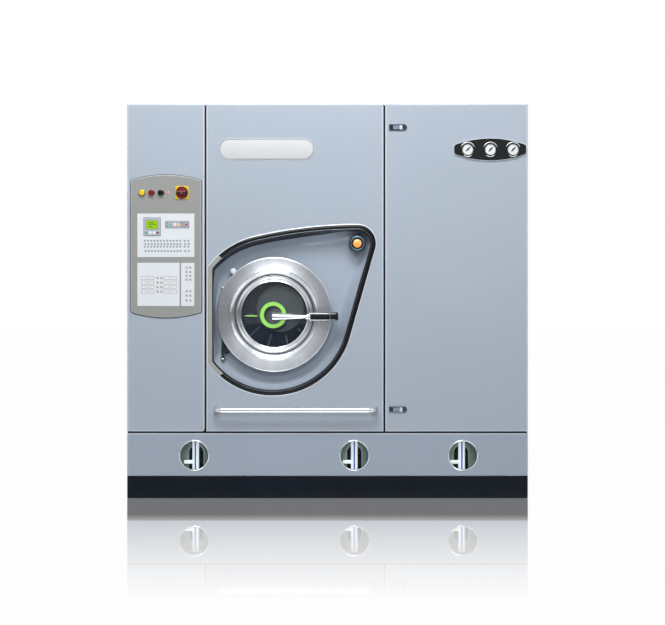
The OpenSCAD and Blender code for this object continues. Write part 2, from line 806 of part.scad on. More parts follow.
module drum() color("silver") {
    turned(door_x, door_z)
        polygon([[0, drum_back - drum_t], [0, drum_back], [drum_r, drum_back], [drum_r, drum_y],
            [drum_mouth_r, drum_y], [drum_mouth_r, drum_y + drum_t],
            [drum_r - drum_t, drum_y + drum_t], [drum_r - drum_t, drum_back - drum_t]]);
    lift_r = drum_r - drum_t + weld;
    slab(drum_y + drum_t - weld, drum_back - drum_t + weld)
        for (i = [0:lifter_n - 1])
            translate([door_x, door_z]) rotate(360 * i / lifter_n)
                polygon([[-lifter_w / 2, lift_r - 2], [lifter_w / 2, lift_r - 2],
                    [12, lift_r - lifter_h], [-12, lift_r - lifter_h]]);
}

module drum_shaft() color("darkgray")
    turned(door_x, door_z)
        polygon([[0, drum_back], [4 * shaft_r, drum_back], [4 * shaft_r, drum_back + 15],
            [shaft_r, drum_back + 15], [shaft_r, pulley_y + pulley_w + 10],
            [0, pulley_y + pulley_w + 10]]);

module drum_pulley() color("dimgray") {
    web0 = pulley_y + pulley_w / 2 - 5;
    web1 = pulley_y + pulley_w / 2 + 5;
    hub = shaft_r + 25;
    rim = pulley_r - 12;
    turned(door_x, door_z)
        polygon([[shaft_r + running_fit, pulley_y], [hub, pulley_y], [hub, web0], [rim, web0],
            [rim, pulley_y], [pulley_r, pulley_y], [pulley_r, pulley_y + pulley_w],
            [rim, pulley_y + pulley_w], [rim, web1], [hub, web1], [hub, pulley_y + pulley_w],
            [shaft_r + running_fit, pulley_y + pulley_w]]);
}

module drive_motor() color([0.2, 0.3, 0.45])
    difference() {
        union() {
            rod_along_y(motor_x, motor_z, motor_r, motor_front - motor_l, motor_front);
            block(motor_x - motor_r * 0.8, motor_x + motor_r * 0.8, motor_front - motor_l + 20,
                motor_front - 20, deck_z, motor_z - motor_r / 2);
        }
        rod_along_y(motor_x, motor_z, spindle_r + running_fit, motor_front - 100, motor_front + 1);
    }

module motor_pulley() color("darkgray") {
    rod_along_y(motor_x, motor_z, spindle_r, motor_front - 95, pulley_y + weld);
    rod_along_y(motor_x, motor_z, motor_pulley_r, pulley_y, pulley_y + pulley_w);
}

// Outline of a band round both pulleys, both radii grown by g
module band(g)
    hull() {
        translate([door_x, door_z]) circle(r = pulley_r + g, $fn = round_fn);
        translate([motor_x, motor_z]) circle(r = motor_pulley_r + g, $fn = round_fn);
    }

module drive_belt() color([0.06, 0.06, 0.06])
    slab(pulley_y + 2, pulley_y + pulley_w - 2)
        difference() {
            band(2 * seat + belt_t);
            band(2 * seat);
        }

// ---- Air circuit ----

module air_box() color([0.7, 0.72, 0.74])
    difference() {
        union() {
            block(air_x0, air_x1, air_y, air_y + air_d, air_z, air_z + air_h);
            block(neck_x0, neck_x1, neck_y0, neck_y1, door_z + casing_r - 30, air_z + air_t);
            rod_along_z(spigot_x, spigot_y, spigot_r, air_z + air_h - air_t, frame_top);
        }
        block(air_x0 + air_t, air_x1 - air_t, air_y + air_t, air_y + air_d - air_t,
            air_z + air_t, air_z + air_h - air_t);
        block(neck_x0 + air_t, neck_x1 - air_t, neck_y0 + air_t, neck_y1 - air_t,
            door_z + casing_r - 60, air_z + air_t + 1);
        rod_along_z(spigot_x, spigot_y, spigot_r - air_t, air_z + air_h - air_t - 1, frame_top + 1);
        rod_along_y(door_x, door_z, casing_r + seat, casing_y - 1, casing_back + 1);
        block(air_x1 - air_t - 1, air_x1 + 1, fan_y + air_t, fan_back - air_t,
            fan_z + fan_r - 110 + air_t, fan_z + fan_r - air_t);
    }

inlet_r = fan_r * 0.55;

module fan_housing() color([0.6, 0.62, 0.66])
    difference() {
        union() {
            rod_along_y(fan_x, fan_z, fan_r, fan_y, fan_back);
            block(air_x1, fan_x, fan_y, fan_back, fan_z + fan_r - 110, fan_z + fan_r);
        }
        rod_along_y(fan_x, fan_z, fan_r - air_t, fan_y + air_t, fan_back - air_t);
        block(air_x1 - 1, fan_x, fan_y + air_t, fan_back - air_t,
            fan_z + fan_r - 110 + air_t, fan_z + fan_r - air_t);
        rod_along_y(fan_x, fan_z, inlet_r, fan_y - 1, fan_y + air_t + 1);
        rod_along_y(fan_x, fan_z, spindle_r + running_fit, fan_back - air_t - 1, fan_back + 1);
    }

module fan_rotor() color("darkgray") {
    rotor_r = fan_r - 25;
    disc_y = fan_back - air_t - 15;
    rod_along_y(fan_x, fan_z, rotor_r, disc_y, disc_y + 4);
    rod_along_y(fan_x, fan_z, spindle_r, disc_y, fan_back + 60);
    for (i = [0:blade_n - 1])
        translate([fan_x, 0, fan_z]) rotate([0, 360 * i / blade_n, 0])
            block(rotor_r - 50, rotor_r - 2, fan_y + air_t + 12, disc_y + weld, -1.5, 1.5);
}

module fan_motor() color([0.2, 0.3, 0.45])
    difference() {
        rod_along_y(fan_x, fan_z, fan_r * 0.5, fan_back, fan_back + 150);
        rod_along_y(fan_x, fan_z, spindle_r + running_fit, fan_back - 1, fan_back + 70);
    }

// ---- Still, filter, pump, compressor and pipes ----

module still() color("silver") vessel(still_x, vessel_y, still_r, still_h, 4);

module solvent_filter() color("silver") vessel(filter_x, vessel_y, filter_r, filter_h, 3);

module compressor() color([0.1, 0.1, 0.11])
    vessel(compressor_x, vessel_y, compressor_r, compressor_h, 5);

pump_z = deck_z + pump_r + 15;
pump_x = filter_x - 60;
pump_in = 300;
pump_y = front_y + pump_in;

module solvent_pump() color([0.2, 0.3, 0.45]) {
    rod_along_x(pump_y, pump_z, pump_r, pump_x - 200, pump_x);
    rod_along_x(pump_y, pump_z, pump_r + 12, pump_x - weld, pump_x + 60);
    rod_along_z(pump_x + 30, pump_y, 22, pump_z, pump_z + pump_r + 90);
    block(pump_x - 180, pump_x - 20, pump_y - 50, pump_y + 50, deck_z, pump_z - pump_r / 2);
}

module pipework() color("peru")
    for (p = pipes)
        difference() {
            rod_along_y(p[0], p[1], socket_r, vessel_y, back_y + socket_out);
            rod_along_z(p[0], vessel_y, p[2] + seat, p[1] - 2 * socket_r, p[1] + 2 * socket_r);
            rod_along_y(p[0], p[1], socket_bore, back_y + socket_out - socket_l,
                back_y + socket_out + 1);
        }

module electrical_box() color([0.75, 0.76, 0.74]) {
    x1 = elec_x0 + elec_w;
    difference() {
        block(elec_x0, x1, elec_y, elec_y + elec_d, deck_z, elec_top);
        block(elec_x0 + sheet, x1 - sheet, elec_y - 1, elec_y + elec_d - sheet,
            deck_z + sheet, elec_top - sheet);
    }
    for (z = [deck_z + 150:180:elec_top - 150], i = [0:3])
        block(elec_x0 + 18 + 46 * i, elec_x0 + 56 + 46 * i, elec_y + elec_d - 90,
            elec_y + elec_d - sheet + weld, z, z + 80);
}

// ---- Control door and service door ----

hinge_t = 4;

module hinge_plate_outline() {
    circle(r = pin_r + 4, $fn = round_fn);
    translate([-36, -pin_r - 4]) square([36, 2 * pin_r + 8]);
    translate([-36, -pin_r - 4]) square([18, frame_y - pivot_y + pin_r + 4]);
}

module panel_hinges() color("dimgray")
    for (side = [0, 1]) mirror([side, 0, 0]) {
        translate([pivot_x, pivot_y, upper_z + door_sheet + seat])
            linear_extrude(hinge_t) hinge_plate_outline();
        rod_along_z(pivot_x, pivot_y, pin_r, upper_z, upper_z + door_sheet + seat + weld);
        translate([pivot_x, pivot_y, cab_h - door_sheet - seat - hinge_t])
            linear_extrude(hinge_t) hinge_plate_outline();
        rod_along_z(pivot_x, pivot_y, pin_r, cab_h - door_sheet - seat - weld, cab_h);
    }

module hinged_door(x0, x1, side)
    difference() {
        tray(x0, x1, door_back_y, upper_z, cab_h, door_sheet);
        for (z = [upper_z, cab_h - door_sheet])
            rod_along_z(side * pivot_x, pivot_y, pin_r + running_fit, z - 1, z + door_sheet + 1);
    }

button_xs = [for (i = [0:2]) button_x + i * button_pitch];

module control_door() color([0.65, 0.7, 0.76])
    difference() {
        hinged_door(-half_w, control_x1, -1);
        for (x = concat(button_xs, [switch_x]))
            rod_along_y(x, button_z, stem_r + 2, front_y - 1, front_y + door_sheet + 1);
    }

module bezel_outline() {
    bulge = 28;
    n = 16;
    polygon(concat(
        [for (i = [0:n]) let (t = 2 * i / n - 1)
            [bezel_x0 + (bezel_x1 - bezel_x0) * i / n, bezel_z0 - bulge * (1 - t * t)]],
        [for (i = [n:-1:0]) let (t = 2 * i / n - 1)
            [bezel_x0 + (bezel_x1 - bezel_x0) * i / n, bezel_z1 + bulge * (1 - t * t)]]));
}

module control_bezel() color([0.62, 0.62, 0.6])
    difference() {
        union() {
            slab(bezel_y, front_y) bezel_outline();
            for (x = button_xs)
                rod_along_y(x, button_z, button_r + 4, bezel_y - collar_t, bezel_y + weld);
        }
        for (x = button_xs)
            rod_along_y(x, button_z, stem_r + running_fit, bezel_y - collar_t - 1, front_y + 1);
        rod_along_y(switch_x, button_z, handle_pin_r + running_fit, bezel_y - 1, front_y + 1);
    }

// Places on the keypads, from the upper keypad's left edge and down from the button row
pad_top = 105;
pad_foot = 322.5;
low_pad_top = 351;
low_pad_foot = 567;
low_pad_w = 210.5;
low_pad_gap = 8;
display_in = 31;
display_end = 117.5;
display_top = 124;
display_foot = 216;
strip_in = 141;
strip_end = 259.5;
strip_top = 144.5;
strip_foot = 177.5;

// Plates on the bezel: keypad, display with its frame, lamp strip, and the switch's square
module control_keypads() color("whitesmoke") {
    block(pad_x0, pad_x1, bezel_y - 2, bezel_y, button_z - pad_foot, button_z - pad_top);
    block(pad_x0 + display_in, pad_x0 + display_end, bezel_y - 5, bezel_y - 2 + weld,
        button_z - display_foot, button_z - display_top);
    block(pad_x0 + strip_in, pad_x0 + strip_end, bezel_y - 4, bezel_y - 2 + weld,
        button_z - strip_foot, button_z - strip_top);
    block(pad_x0, pad_x0 + low_pad_w, bezel_y - 2, bezel_y,
        button_z - low_pad_foot, button_z - low_pad_top);
    block(pad_x0 + low_pad_w + low_pad_gap, pad_x1, bezel_y - 2, bezel_y,
        button_z - low_pad_foot, button_z - low_pad_top);
    difference() {
        block(switch_x - switch_plate / 2, switch_x + switch_plate / 2, bezel_y - plate_t, bezel_y,
            button_z - switch_plate / 2, button_z + switch_plate / 2);
        rod_along_y(switch_x, button_z, handle_pin_r + running_fit,
            bezel_y - plate_t - 1, bezel_y + 1);
    }
}

module push_button(x) {
    back = bezel_y - collar_t - button_travel - 1;
    rod_along_y(x, button_z, button_r, back - 9, back);
    rod_along_y(x, button_z, stem_r, back - weld, front_y + door_sheet + 20);
}

module yellow_button() color("gold") push_button(button_xs[0]);

module red_button() color("red") push_button(button_xs[1]);

module black_button() color([0.08, 0.08, 0.08]) push_button(button_xs[2]);

module main_switch() color([0.75, 0.1, 0.12]) {
    back = bezel_y - plate_t - seat;
    rod_along_y(switch_x, button_z, knob_r, back - 10, back);
    block(switch_x - knob_r + 1, switch_x + knob_r - 1, back - 26, back - 10 + weld,
        button_z - 7, button_z + 7);
    rod_along_y(switch_x, button_z, handle_pin_r, back - weld, front_y + door_sheet + 20);
}

module service_door() color([0.65, 0.7, 0.76]) hinged_door(service_x0, half_w, 1);

gauge_xs = [for (i = [-1:1]) gauge_x + i * gauge_pitch];
dial_r = gauge_r - 9;
needle_pin_r = 1.5;

module gauge_plate() color([0.08, 0.09, 0.11])
    difference() {
        union() {
            slab(bezel_y, front_y) gauge_outline();
            for (x = gauge_xs) {
                turned(x, gauge_z)
                    polygon([[dial_r, bezel_y - 8], [gauge_r - 2, bezel_y - 8],
                        [gauge_r, bezel_y - 5], [gauge_r, bezel_y + weld],
                        [dial_r, bezel_y + weld]]);
                rod_along_y(x, gauge_z, dial_r + weld, bezel_y - 2, bezel_y + weld);
            }
        }
        for (x = gauge_xs)
            rod_along_y(x, gauge_z, needle_pin_r + running_fit, bezel_y - 3, front_y + 1);
    }

module gauge_outline() {
    n = 16;
    polygon(concat(
        [for (i = [0:n]) let (t = 2 * i / n - 1)
            [gauge_x + gauge_half * t, gauge_z - 24 - 33.5 * (1 - t * t)]],
        [for (i = [n:-1:0]) let (t = 2 * i / n - 1)
            [gauge_x + gauge_half * t, gauge_z + 24 + 33.5 * (1 - t * t)]]));
}

module needle(x) {
    rod_along_y(x, gauge_z, 4, bezel_y - 6, bezel_y - 2 - seat);
    rod_along_y(x, gauge_z, needle_pin_r, bezel_y - 2 - seat - weld, front_y - 2);
    translate([x, 0, gauge_z]) rotate([0, -45, 0])
        block(-9, dial_r - 6, bezel_y - 5, bezel_y - 4, -1, 1);
}

module left_needle() color("black") needle(gauge_xs[0]);

module middle_needle() color("black") needle(gauge_xs[1]);

module right_needle() color("black") needle(gauge_xs[2]);

latch_x = service_x0 + 20;
latch_zs = [cab_h - 116, upper_z + 112];
paddle_w = 46;
paddle_h = 19;
latch_t = 6;
paddle_axis_x = latch_x + 20 + paddle_w;
paddle_axis_y = front_y - latch_t + 2.5;
nose_r = 2;

module latch_housings() color("gainsboro")
    for (z = latch_zs) {
        r = latch_h / 2;
        difference() {
            slab(front_y - latch_t, front_y)
                translate([latch_x, z - r]) {
                    square([latch_w - r, latch_h]);
                    translate([latch_w - r, r]) circle(r = r, $fn = round_fn);
                }
            block(latch_x + 19, paddle_axis_x + nose_r + 0.5, front_y - latch_t - 1, front_y - 1,
                z - paddle_h / 2 - 0.5, z + paddle_h / 2 + 0.5);
            rod_along_z(paddle_axis_x, paddle_axis_y, 1 + running_fit,
                z - paddle_h / 2 - 3.5, z + paddle_h / 2 + 3.5);
        }
    }

module latch_paddle(z) {
    block(latch_x + 20, paddle_axis_x, paddle_axis_y - nose_r, paddle_axis_y + nose_r,
        z - paddle_h / 2, z + paddle_h / 2);
    rod_along_z(paddle_axis_x, paddle_axis_y, nose_r, z - paddle_h / 2, z + paddle_h / 2);
    rod_along_z(paddle_axis_x, paddle_axis_y, 1, z - paddle_h / 2 - 3, z + paddle_h / 2 + 3);
}

module upper_latch() color("dimgray") latch_paddle(latch_zs[0]);

module lower_latch() color("dimgray") latch_paddle(latch_zs[1]);

spill_pan();
frame_posts();
frame_rails();
side_panels();
back_panel();
top_panel();
lower_panel();
window_rims();
window_glasses();
level_gauges();
solvent_tanks();
front_panel();
recess_dish();
recess_trim();
lamp_housing();
door_hinge_bracket();
grab_rail();
casing();
casing_mouth();
bearing_housing();
drive_belt();
drive_motor();
air_box();
fan_housing();
fan_motor();
still();
solvent_filter();
solvent_pump();
compressor();
pipework();
electrical_box();
panel_hinges();
drum();
drum_shaft();
drum_pulley();
motor_pulley();
fan_rotor();
door_ring();
door_glass();
door_seal();
door_hinge_arms();
handle_mount();
door_handle();
handle_grip();
lamp_button();
control_door();
control_bezel();
control_keypads();
yellow_button();
red_button();
black_button();
main_switch();
service_door();
gauge_plate();
left_needle();
middle_needle();
right_needle();
latch_housings();
upper_latch();
lower_latch();
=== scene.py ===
"""Dry cleaning machine: the skins, trim, door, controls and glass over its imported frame.

Sizes in this file are millimetres in the machine's own frame: X to the right, Y to the back,
Z up, and the front panels' faces at FRONT. mesh_piece turns them into metres.
"""
import math

import bmesh
import bpy
import numpy as np
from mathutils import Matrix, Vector
from bpy.props import FloatProperty, FloatVectorProperty, IntProperty, PointerProperty


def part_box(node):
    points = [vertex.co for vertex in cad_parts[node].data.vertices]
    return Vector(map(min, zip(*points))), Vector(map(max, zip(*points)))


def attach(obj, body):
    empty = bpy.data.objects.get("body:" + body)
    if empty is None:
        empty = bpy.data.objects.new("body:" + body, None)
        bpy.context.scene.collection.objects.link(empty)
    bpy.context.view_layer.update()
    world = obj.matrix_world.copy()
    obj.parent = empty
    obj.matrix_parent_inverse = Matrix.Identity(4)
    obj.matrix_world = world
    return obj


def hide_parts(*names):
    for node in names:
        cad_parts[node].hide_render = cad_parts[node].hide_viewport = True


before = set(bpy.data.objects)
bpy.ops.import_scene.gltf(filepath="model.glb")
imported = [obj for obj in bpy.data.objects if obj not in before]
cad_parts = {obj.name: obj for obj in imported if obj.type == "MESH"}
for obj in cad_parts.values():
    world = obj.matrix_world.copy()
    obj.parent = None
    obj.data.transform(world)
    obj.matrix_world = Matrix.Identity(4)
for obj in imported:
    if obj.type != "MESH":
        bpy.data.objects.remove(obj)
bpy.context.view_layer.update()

bl_info = {
    "name": "Dry Cleaning Machine",
    "version": (1, 0, 0),
    "blender": (4, 5, 0),
    "location": "3D View > Sidebar > Dry Cleaning",
    "description": "Skins, door, controls and glass of a front loading dry cleaning machine",
    "category": "Object",
}


def node_box(node):
    """Lowest and highest corner of a CAD node, in millimetres."""
    low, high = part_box(node)
    return np.array(low) * 1000, np.array(high) * 1000


# Planes and places of the frame, in millimetres
FRONT = node_box("front_panel")[0][1]
HALF_W = node_box("spill_pan")[1][0]
TOP = node_box("control_door")[1][2]
BACK = node_box("spill_pan")[1][1]
FRAME_Y = node_box("frame_posts")[0][1]
CONTROL_X1 = node_box("control_door")[1][0]
CENTRE_X0, CENTRE_X1 = (node_box("front_panel")[i][0] for i in (0, 1))
SERVICE_X0 = node_box("service_door")[0][0]
PAN_H = node_box("spill_pan")[1][2]
LOWER_TOP = node_box("lower_panel")[1][2]
UPPER_Z = node_box("front_panel")[0][2]
WINDOW_XS = (-666.5, 135.0, 677.5)
WINDOW_Z = 214.0
WINDOW_R = 72.0
DOOR = (-267.5, 917.5)
RING_Y = FRONT + 23
FLOOR_Y = FRONT + 100
TANK_Y = FRONT + 100
GLASS_FRONT = node_box("door_glass")[0][1]
GAUGE_XS = (699.75, 813.0, 926.25)
GAUGE_Z = 1743.0
BUTTON_XS = (-925.5, -878.5, -831.5)
BUTTON_Z = 1527.5
PLATE_H = 8.0
EDGE_STEPS = 7


# ---- Surfaces as whole arrays ----

def spin(steps, start=0.0, turn=360.0, closed=True):
    """Angles in radians, evenly spaced over a turn; the last one is left out when it closes."""
    return np.radians(start + turn * np.arange(steps) / (steps if closed else steps - 1))


def surface(points, wrap_u=False, wrap_v=False, cap_first=False, cap_last=False, flip=False):
    """Faces over a grid of points[u, v]: each cell is a quad, and a wrapped side joins its ends.
    A cap closes the first or the last row with one flat face."""
    nu, nv = points.shape[:2]
    u = np.arange(nu if wrap_u else nu - 1)[:, None]
    v = np.arange(nv if wrap_v else nv - 1)[None, :]
    u2, v2 = (u + 1) % nu, (v + 1) % nv
    quads = np.stack([u * nv + v, u2 * nv + v, u2 * nv + v2, u * nv + v2], -1).reshape(-1, 4)
    faces = [tuple(q) for q in (quads[:, ::-1] if flip else quads).tolist()]
    if cap_first:
        row = list(range(nv))
        faces.append(tuple(row[::-1] if flip else row))
    if cap_last:
        row = list(range((nu - 1) * nv, nu * nv))
        faces.append(tuple(row if flip else row[::-1]))
    return points.reshape(-1, 3), faces


def rings(rows, first=False, last=False):
    """Outlines that follow each other into a surface that faces the front; first and last
    close its ends with flat faces."""
    return surface(np.stack(rows), wrap_v=True, cap_first=first, cap_last=last, flip=True)


def turned_points(profile, centre, axis, steps, base):
    """Rings of points from (radius, place) pairs, with places counted from base along the axis.
    On axis y, a point is (cx + r cos t, base + place, cz + r sin t)."""
    profile = np.asarray(profile, float)
    t = spin(steps)[None, :]
    r, s = profile[:, :1], base + profile[:, 1:] + 0 * t
    a, b = centre[0] + r * np.cos(t), centre[1] + r * np.sin(t)
    return np.stack({"x": (s, a, b), "y": (a, s, b), "z": (a, b, s)}[axis], -1)


def turned(profile, centre, axis="y", steps=96, close=True, base=0.0):
    """A hollow profile turned about an axis through centre; close joins its two ends."""
    return surface(turned_points(profile, centre, axis, steps, base), wrap_u=close, wrap_v=True,
                   flip=axis == "y")


def turned_solid(profile, centre, axis="y", steps=64, base=0.0):
    """A turned piece whose profile runs from the axis round the outside back to the axis;
    its two ends are closed by flat faces at a very small radius."""
    profile = [(max(r, 0.01), s) for r, s in profile]
    return surface(turned_points(profile, centre, axis, steps, base), wrap_v=True,
                   cap_first=True, cap_last=True, flip=axis == "y")


def rounded(x0, x1, z0, z1, r, n=8, edge=0):
    """A rectangle with round corners as points in X and Z, anticlockwise from the lower right.
    r is one radius or four, from the lower right corner on; edge adds points along each side."""
    radii = np.broadcast_to(np.asarray(r, float), 4)
    corners = [(x1, z0, -90), (x1, z1, 0), (x0, z1, 90), (x0, z0, 180)]
    parts = []
    for (x, z, start), rad in zip(corners, radii):
        rad = max(rad, 0.01)
        cx = x - math.copysign(rad, x - (x0 + x1) / 2)
        cz = z - math.copysign(rad, z - (z0 + z1) / 2)
        t = spin(n, start, 90, closed=False)
        parts.append(np.stack([cx + rad * np.cos(t), cz + rad * np.sin(t)], -1))
    if edge:
        full = []
        for i, part in enumerate(parts):
            a, b = part[-1], parts[(i + 1) % 4][0]
            w = (np.arange(1, edge + 1) / (edge + 1))[:, None]
            full += [part, a + (b - a) * w]
        parts = full
    return np.concatenate(parts)


def normals_2d(outline):
    """Outward normals of a closed anticlockwise outline: the tangent turned a quarter right."""
    d = np.roll(outline, -1, 0) - np.roll(outline, 1, 0)
    d /= np.maximum(np.linalg.norm(d, axis=1, keepdims=True), 1e-9)
    return np.stack([d[:, 1], -d[:, 0]], -1)


def at_y(outline, y):
    """An outline in X and Z set in space at depth y."""
    return np.stack([outline[:, 0], np.full(len(outline), y), outline[:, 1]], -1)


def rolled(outline_at, front, edge_r, steps):
    """Rings of a rounded front edge, where outline_at(d) is the outline drawn in by d. The edge
    is a quarter circle: drawn in by r (1 - cos a) at depth front + r (1 - sin a)."""
    return [at_y(outline_at(edge_r * (1 - math.cos(a))), front + edge_r * (1 - math.sin(a)))
            for a in np.linspace(0, np.pi / 2, steps)]


def tube(path, radius, steps):
    """A round section carried along a path. Each ring stands square to the path's tangent, and
    its side vector is carried on from ring to ring without twist. radius may be an array."""
    path = np.asarray(path, float)
    n = len(path)
    radius = np.broadcast_to(np.asarray(radius, float), n)
    tangent = np.gradient(path, axis=0)
    tangent /= np.linalg.norm(tangent, axis=1, keepdims=True)
    side = np.zeros_like(path)
    first = np.cross(tangent[0], [0, 0, 1] if abs(tangent[0][2]) < 0.9 else [1, 0, 0])
    side[0] = first / np.linalg.norm(first)
    for i in range(1, n):
        s = side[i - 1] - tangent[i] * np.dot(side[i - 1], tangent[i])
        side[i] = s / np.linalg.norm(s)
    up = np.cross(tangent, side)
    t = spin(steps)
    across, along = np.cos(t)[None, :, None], np.sin(t)[None, :, None]
    rows = path[:, None, :] + radius[:, None, None] * (across * side[:, None, :]
                                                       + along * up[:, None, :])
    return rings(rows, first=True, last=True)


def brick(x0, x1, y0, y1, z0, z1, bevel=1.0):
    """A rounded block facing the front, with its front edge rolled over by bevel."""
    def outline(d):
        return rounded(x0 + d, x1 - d, z0 + d, z1 - d, max(bevel * 1.5 - d, 0.05), 4)

    return rings([at_y(outline(0), y1), *rolled(outline, y0, bevel, 4),
                  at_y(outline(bevel + 0.3), y0)], first=True, last=True)


def joined(*shapes):
    """Several (points, faces) shapes as one, each face's numbers moved on."""
    points, faces, start = [], [], 0
    for pts, fcs in shapes:
        points.append(pts)
        faces += [tuple(i + start for i in f) for f in fcs]
        start += len(pts)
    return np.concatenate(points), faces


def face_outwards(mesh):
    """Merges doubled points and turns every closed shell's faces outwards."""
    work = bmesh.new()
    work.from_mesh(mesh)
    bmesh.ops.remove_doubles(work, verts=work.verts, dist=1e-6)
    bmesh.ops.recalc_face_normals(work, faces=work.faces)
    work.to_mesh(mesh)
    work.free()


def mesh_piece(name, shape, finish, body, replaces=(), smooth=32, closed=True):
    """A named object from (points, faces) in millimetres, or a list of such shapes with one
    finish each. It rides on a body, and takes the place of the CAD nodes in replaces."""
    shapes = shape if isinstance(shape, list) else [shape]
    finishes = finish if isinstance(finish, list) else [finish]
    points, faces = joined(*shapes)
    mesh = bpy.data.meshes.new(name)
    mesh.from_pydata((points * 0.001).tolist(), [], faces)
    used = []
    for f in finishes:
        if f not in used:
            used.append(f)
            mesh.materials.append(f)
    if len(used) > 1:
        index = np.concatenate([np.full(len(s[1]), used.index(f))
                                for s, f in zip(shapes, finishes)])
        mesh.polygons.foreach_set("material_index", index.astype(np.int32))
    mesh.validate()
    if closed:
        face_outwards(mesh)
    mesh.polygons.foreach_set("use_smooth", [True] * len(mesh.polygons))
    mesh.set_sharp_from_angle(angle=math.radians(smooth))
    piece = bpy.data.objects.new(name, mesh)
    bpy.context.scene.collection.objects.link(piece)
    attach(piece, body)
    if replaces:
        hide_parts(*replaces)
    return piece


# ---- Finishes ----

def linear(colour):
    """A 0 to 255 screen colour as Blender's linear colour."""
    c = np.array(colour, float) / 255
    c = np.where(c <= 0.04045, c / 12.92, ((c + 0.055) / 1.055) ** 2.4)
    return (*c.tolist(), 1.0)


class Tree:
    """A few short ways to add and join nodes in one node tree."""

    def __init__(self, tree):
        self.tree = tree

    def link(self, output, socket):
        self.tree.links.new(output, socket)

    def node(self, kind, inputs=(), **settings):
        made = self.tree.nodes.new(kind)
        for key, value in settings.items():
            setattr(made, key, value)
        for key, value in dict(inputs).items():
            self.feed(value, made.inputs[key])
        return made

    def feed(self, value, socket):
        """Joins an output to a socket, or sets the socket's own value."""
        if isinstance(value, bpy.types.NodeSocket):
            self.link(value, socket)
        else:
            socket.default_value = value

    def math(self, operation, a, b=0.0, c=0.0):
        return self.node("ShaderNodeMath", {0: a, 1: b, 2: c}, operation=operation).outputs[0]

    def vector(self, operation, a, b):
        """A vector worked out from a and b; SCALE takes b as its one factor."""
        second = "Scale" if operation == "SCALE" else 1
        return self.node("ShaderNodeVectorMath", {0: a, second: b}, operation=operation).outputs[0]

    def part(self, vector, axis):
        return self.node("ShaderNodeSeparateXYZ", {0: vector}).outputs[axis]

    def noise(self, vector, scale, detail, rough=0.5):
        made = self.node("ShaderNodeTexNoise", {"Vector": vector, "Scale": scale,
                                                "Detail": detail, "Roughness": rough})
        return made.outputs["Fac"]

    def remap(self, value, a0, a1, b0=0.0, b1=1.0):
        return self.node("ShaderNodeMapRange", {"Value": value, "From Min": a0, "From Max": a1,
                                                "To Min": b0, "To Max": b1}).outputs["Result"]

    def mix(self, factor, a, b):
        mixer = self.node("ShaderNodeMix", {"Factor": factor}, data_type="RGBA")
        self.feed(a, mixer.inputs[6])
        self.feed(b, mixer.inputs[7])
        return mixer.outputs[2]

    def bump(self, height, strength, distance):
        return self.node("ShaderNodeBump", {"Height": height, "Strength": strength,
                                            "Distance": distance}).outputs["Normal"]

    def place(self, scale=(1, 1, 1)):
        """Object coordinates, in metres, stretched by scale."""
        coords = self.node("ShaderNodeTexCoord").outputs["Object"]
        return self.node("ShaderNodeMapping", {"Vector": coords, "Scale": scale}).outputs["Vector"]


def effect(name, inputs):
    """A shader node group with these named inputs, whose outputs are a colour, a roughness and
    a normal, and the Tree to fill it."""
    group = bpy.data.node_groups.new(name, "ShaderNodeTree")
    for label, value in inputs:
        kind = "NodeSocketColor" if isinstance(value, tuple) else "NodeSocketFloat"
        socket = group.interface.new_socket(label, in_out="INPUT", socket_type=kind)
        socket.default_value = value
    for label, kind in (("Colour", "NodeSocketColor"), ("Roughness", "NodeSocketFloat"),
                        ("Normal", "NodeSocketVector")):
        group.interface.new_socket(label, in_out="OUTPUT", socket_type=kind)
    tree = Tree(group)
    return group, tree, tree.node("NodeGroupInput").outputs, tree.node("NodeGroupOutput").inputs


def worn_surface():
    """Tone, gloss and fine bump of a coated sheet: a slow drift of tone, faint wiped streaks
    that run up and down, and the small waves of sprayed paint."""
    group, t, i, out = effect(
        "worn_surface",
        [("Colour", (0.5, 0.5, 0.5, 1.0)), ("Drift", 0.05), ("Roughness", 0.35), ("Streaks", 0.06),
         ("Grain Scale", 400.0), ("Grain Depth", 0.03)])
    slow = t.noise(t.place(), 1.3, 3.0)
    streak = t.noise(t.place((9, 9, 0.8)), 3.0, 4.0)
    grain = t.noise(t.place(), i["Grain Scale"], 2.0)
    shade = t.math("SUBTRACT", 1.0, t.math("MULTIPLY", t.remap(slow, 0.3, 0.75), i["Drift"]))
    t.link(t.vector("SCALE", i["Colour"], shade), out["Colour"])
    rough = t.math("MULTIPLY_ADD", t.remap(streak, 0.35, 0.7), i["Streaks"], i["Roughness"])
    t.link(rough, out["Roughness"])
    t.link(t.bump(grain, i["Grain Depth"], 0.001), out["Normal"])
    return group


def brushed_surface():
    """Colour, roughness and bump of metal drawn along one axis: noise stretched along X."""
    group, t, i, out = effect(
        "brushed_surface",
        [("Colour", (0.7, 0.7, 0.7, 1.0)), ("Roughness", 0.25), ("Lines", 0.1), ("Depth", 0.05)])
    lines = t.noise(t.place((3, 260, 260)), 2.0, 4.0, 0.6)
    smudge = t.noise(t.place(), 9.0, 3.0)
    shade = t.math("MULTIPLY_ADD", lines, 0.14, 0.92)
    t.link(t.vector("SCALE", i["Colour"], shade), out["Colour"])
    rough = t.math("MULTIPLY_ADD", t.math("ADD", lines, t.math("MULTIPLY", smudge, 0.6)),
                   i["Lines"], i["Roughness"])
    t.link(rough, out["Roughness"])
    t.link(t.bump(lines, i["Depth"], 0.0005), out["Normal"])
    return group


WORN, BRUSHED = worn_surface(), brushed_surface()
FINISHES = {}


def opened(material):
    """A material's nodes to add to, and its main shader."""
    return Tree(material.node_tree), material.node_tree.nodes["Principled BSDF"]


def new_material(name):
    material = bpy.data.materials.new(name)
    material.use_nodes = True
    FINISHES[name] = material
    return material, *opened(material)


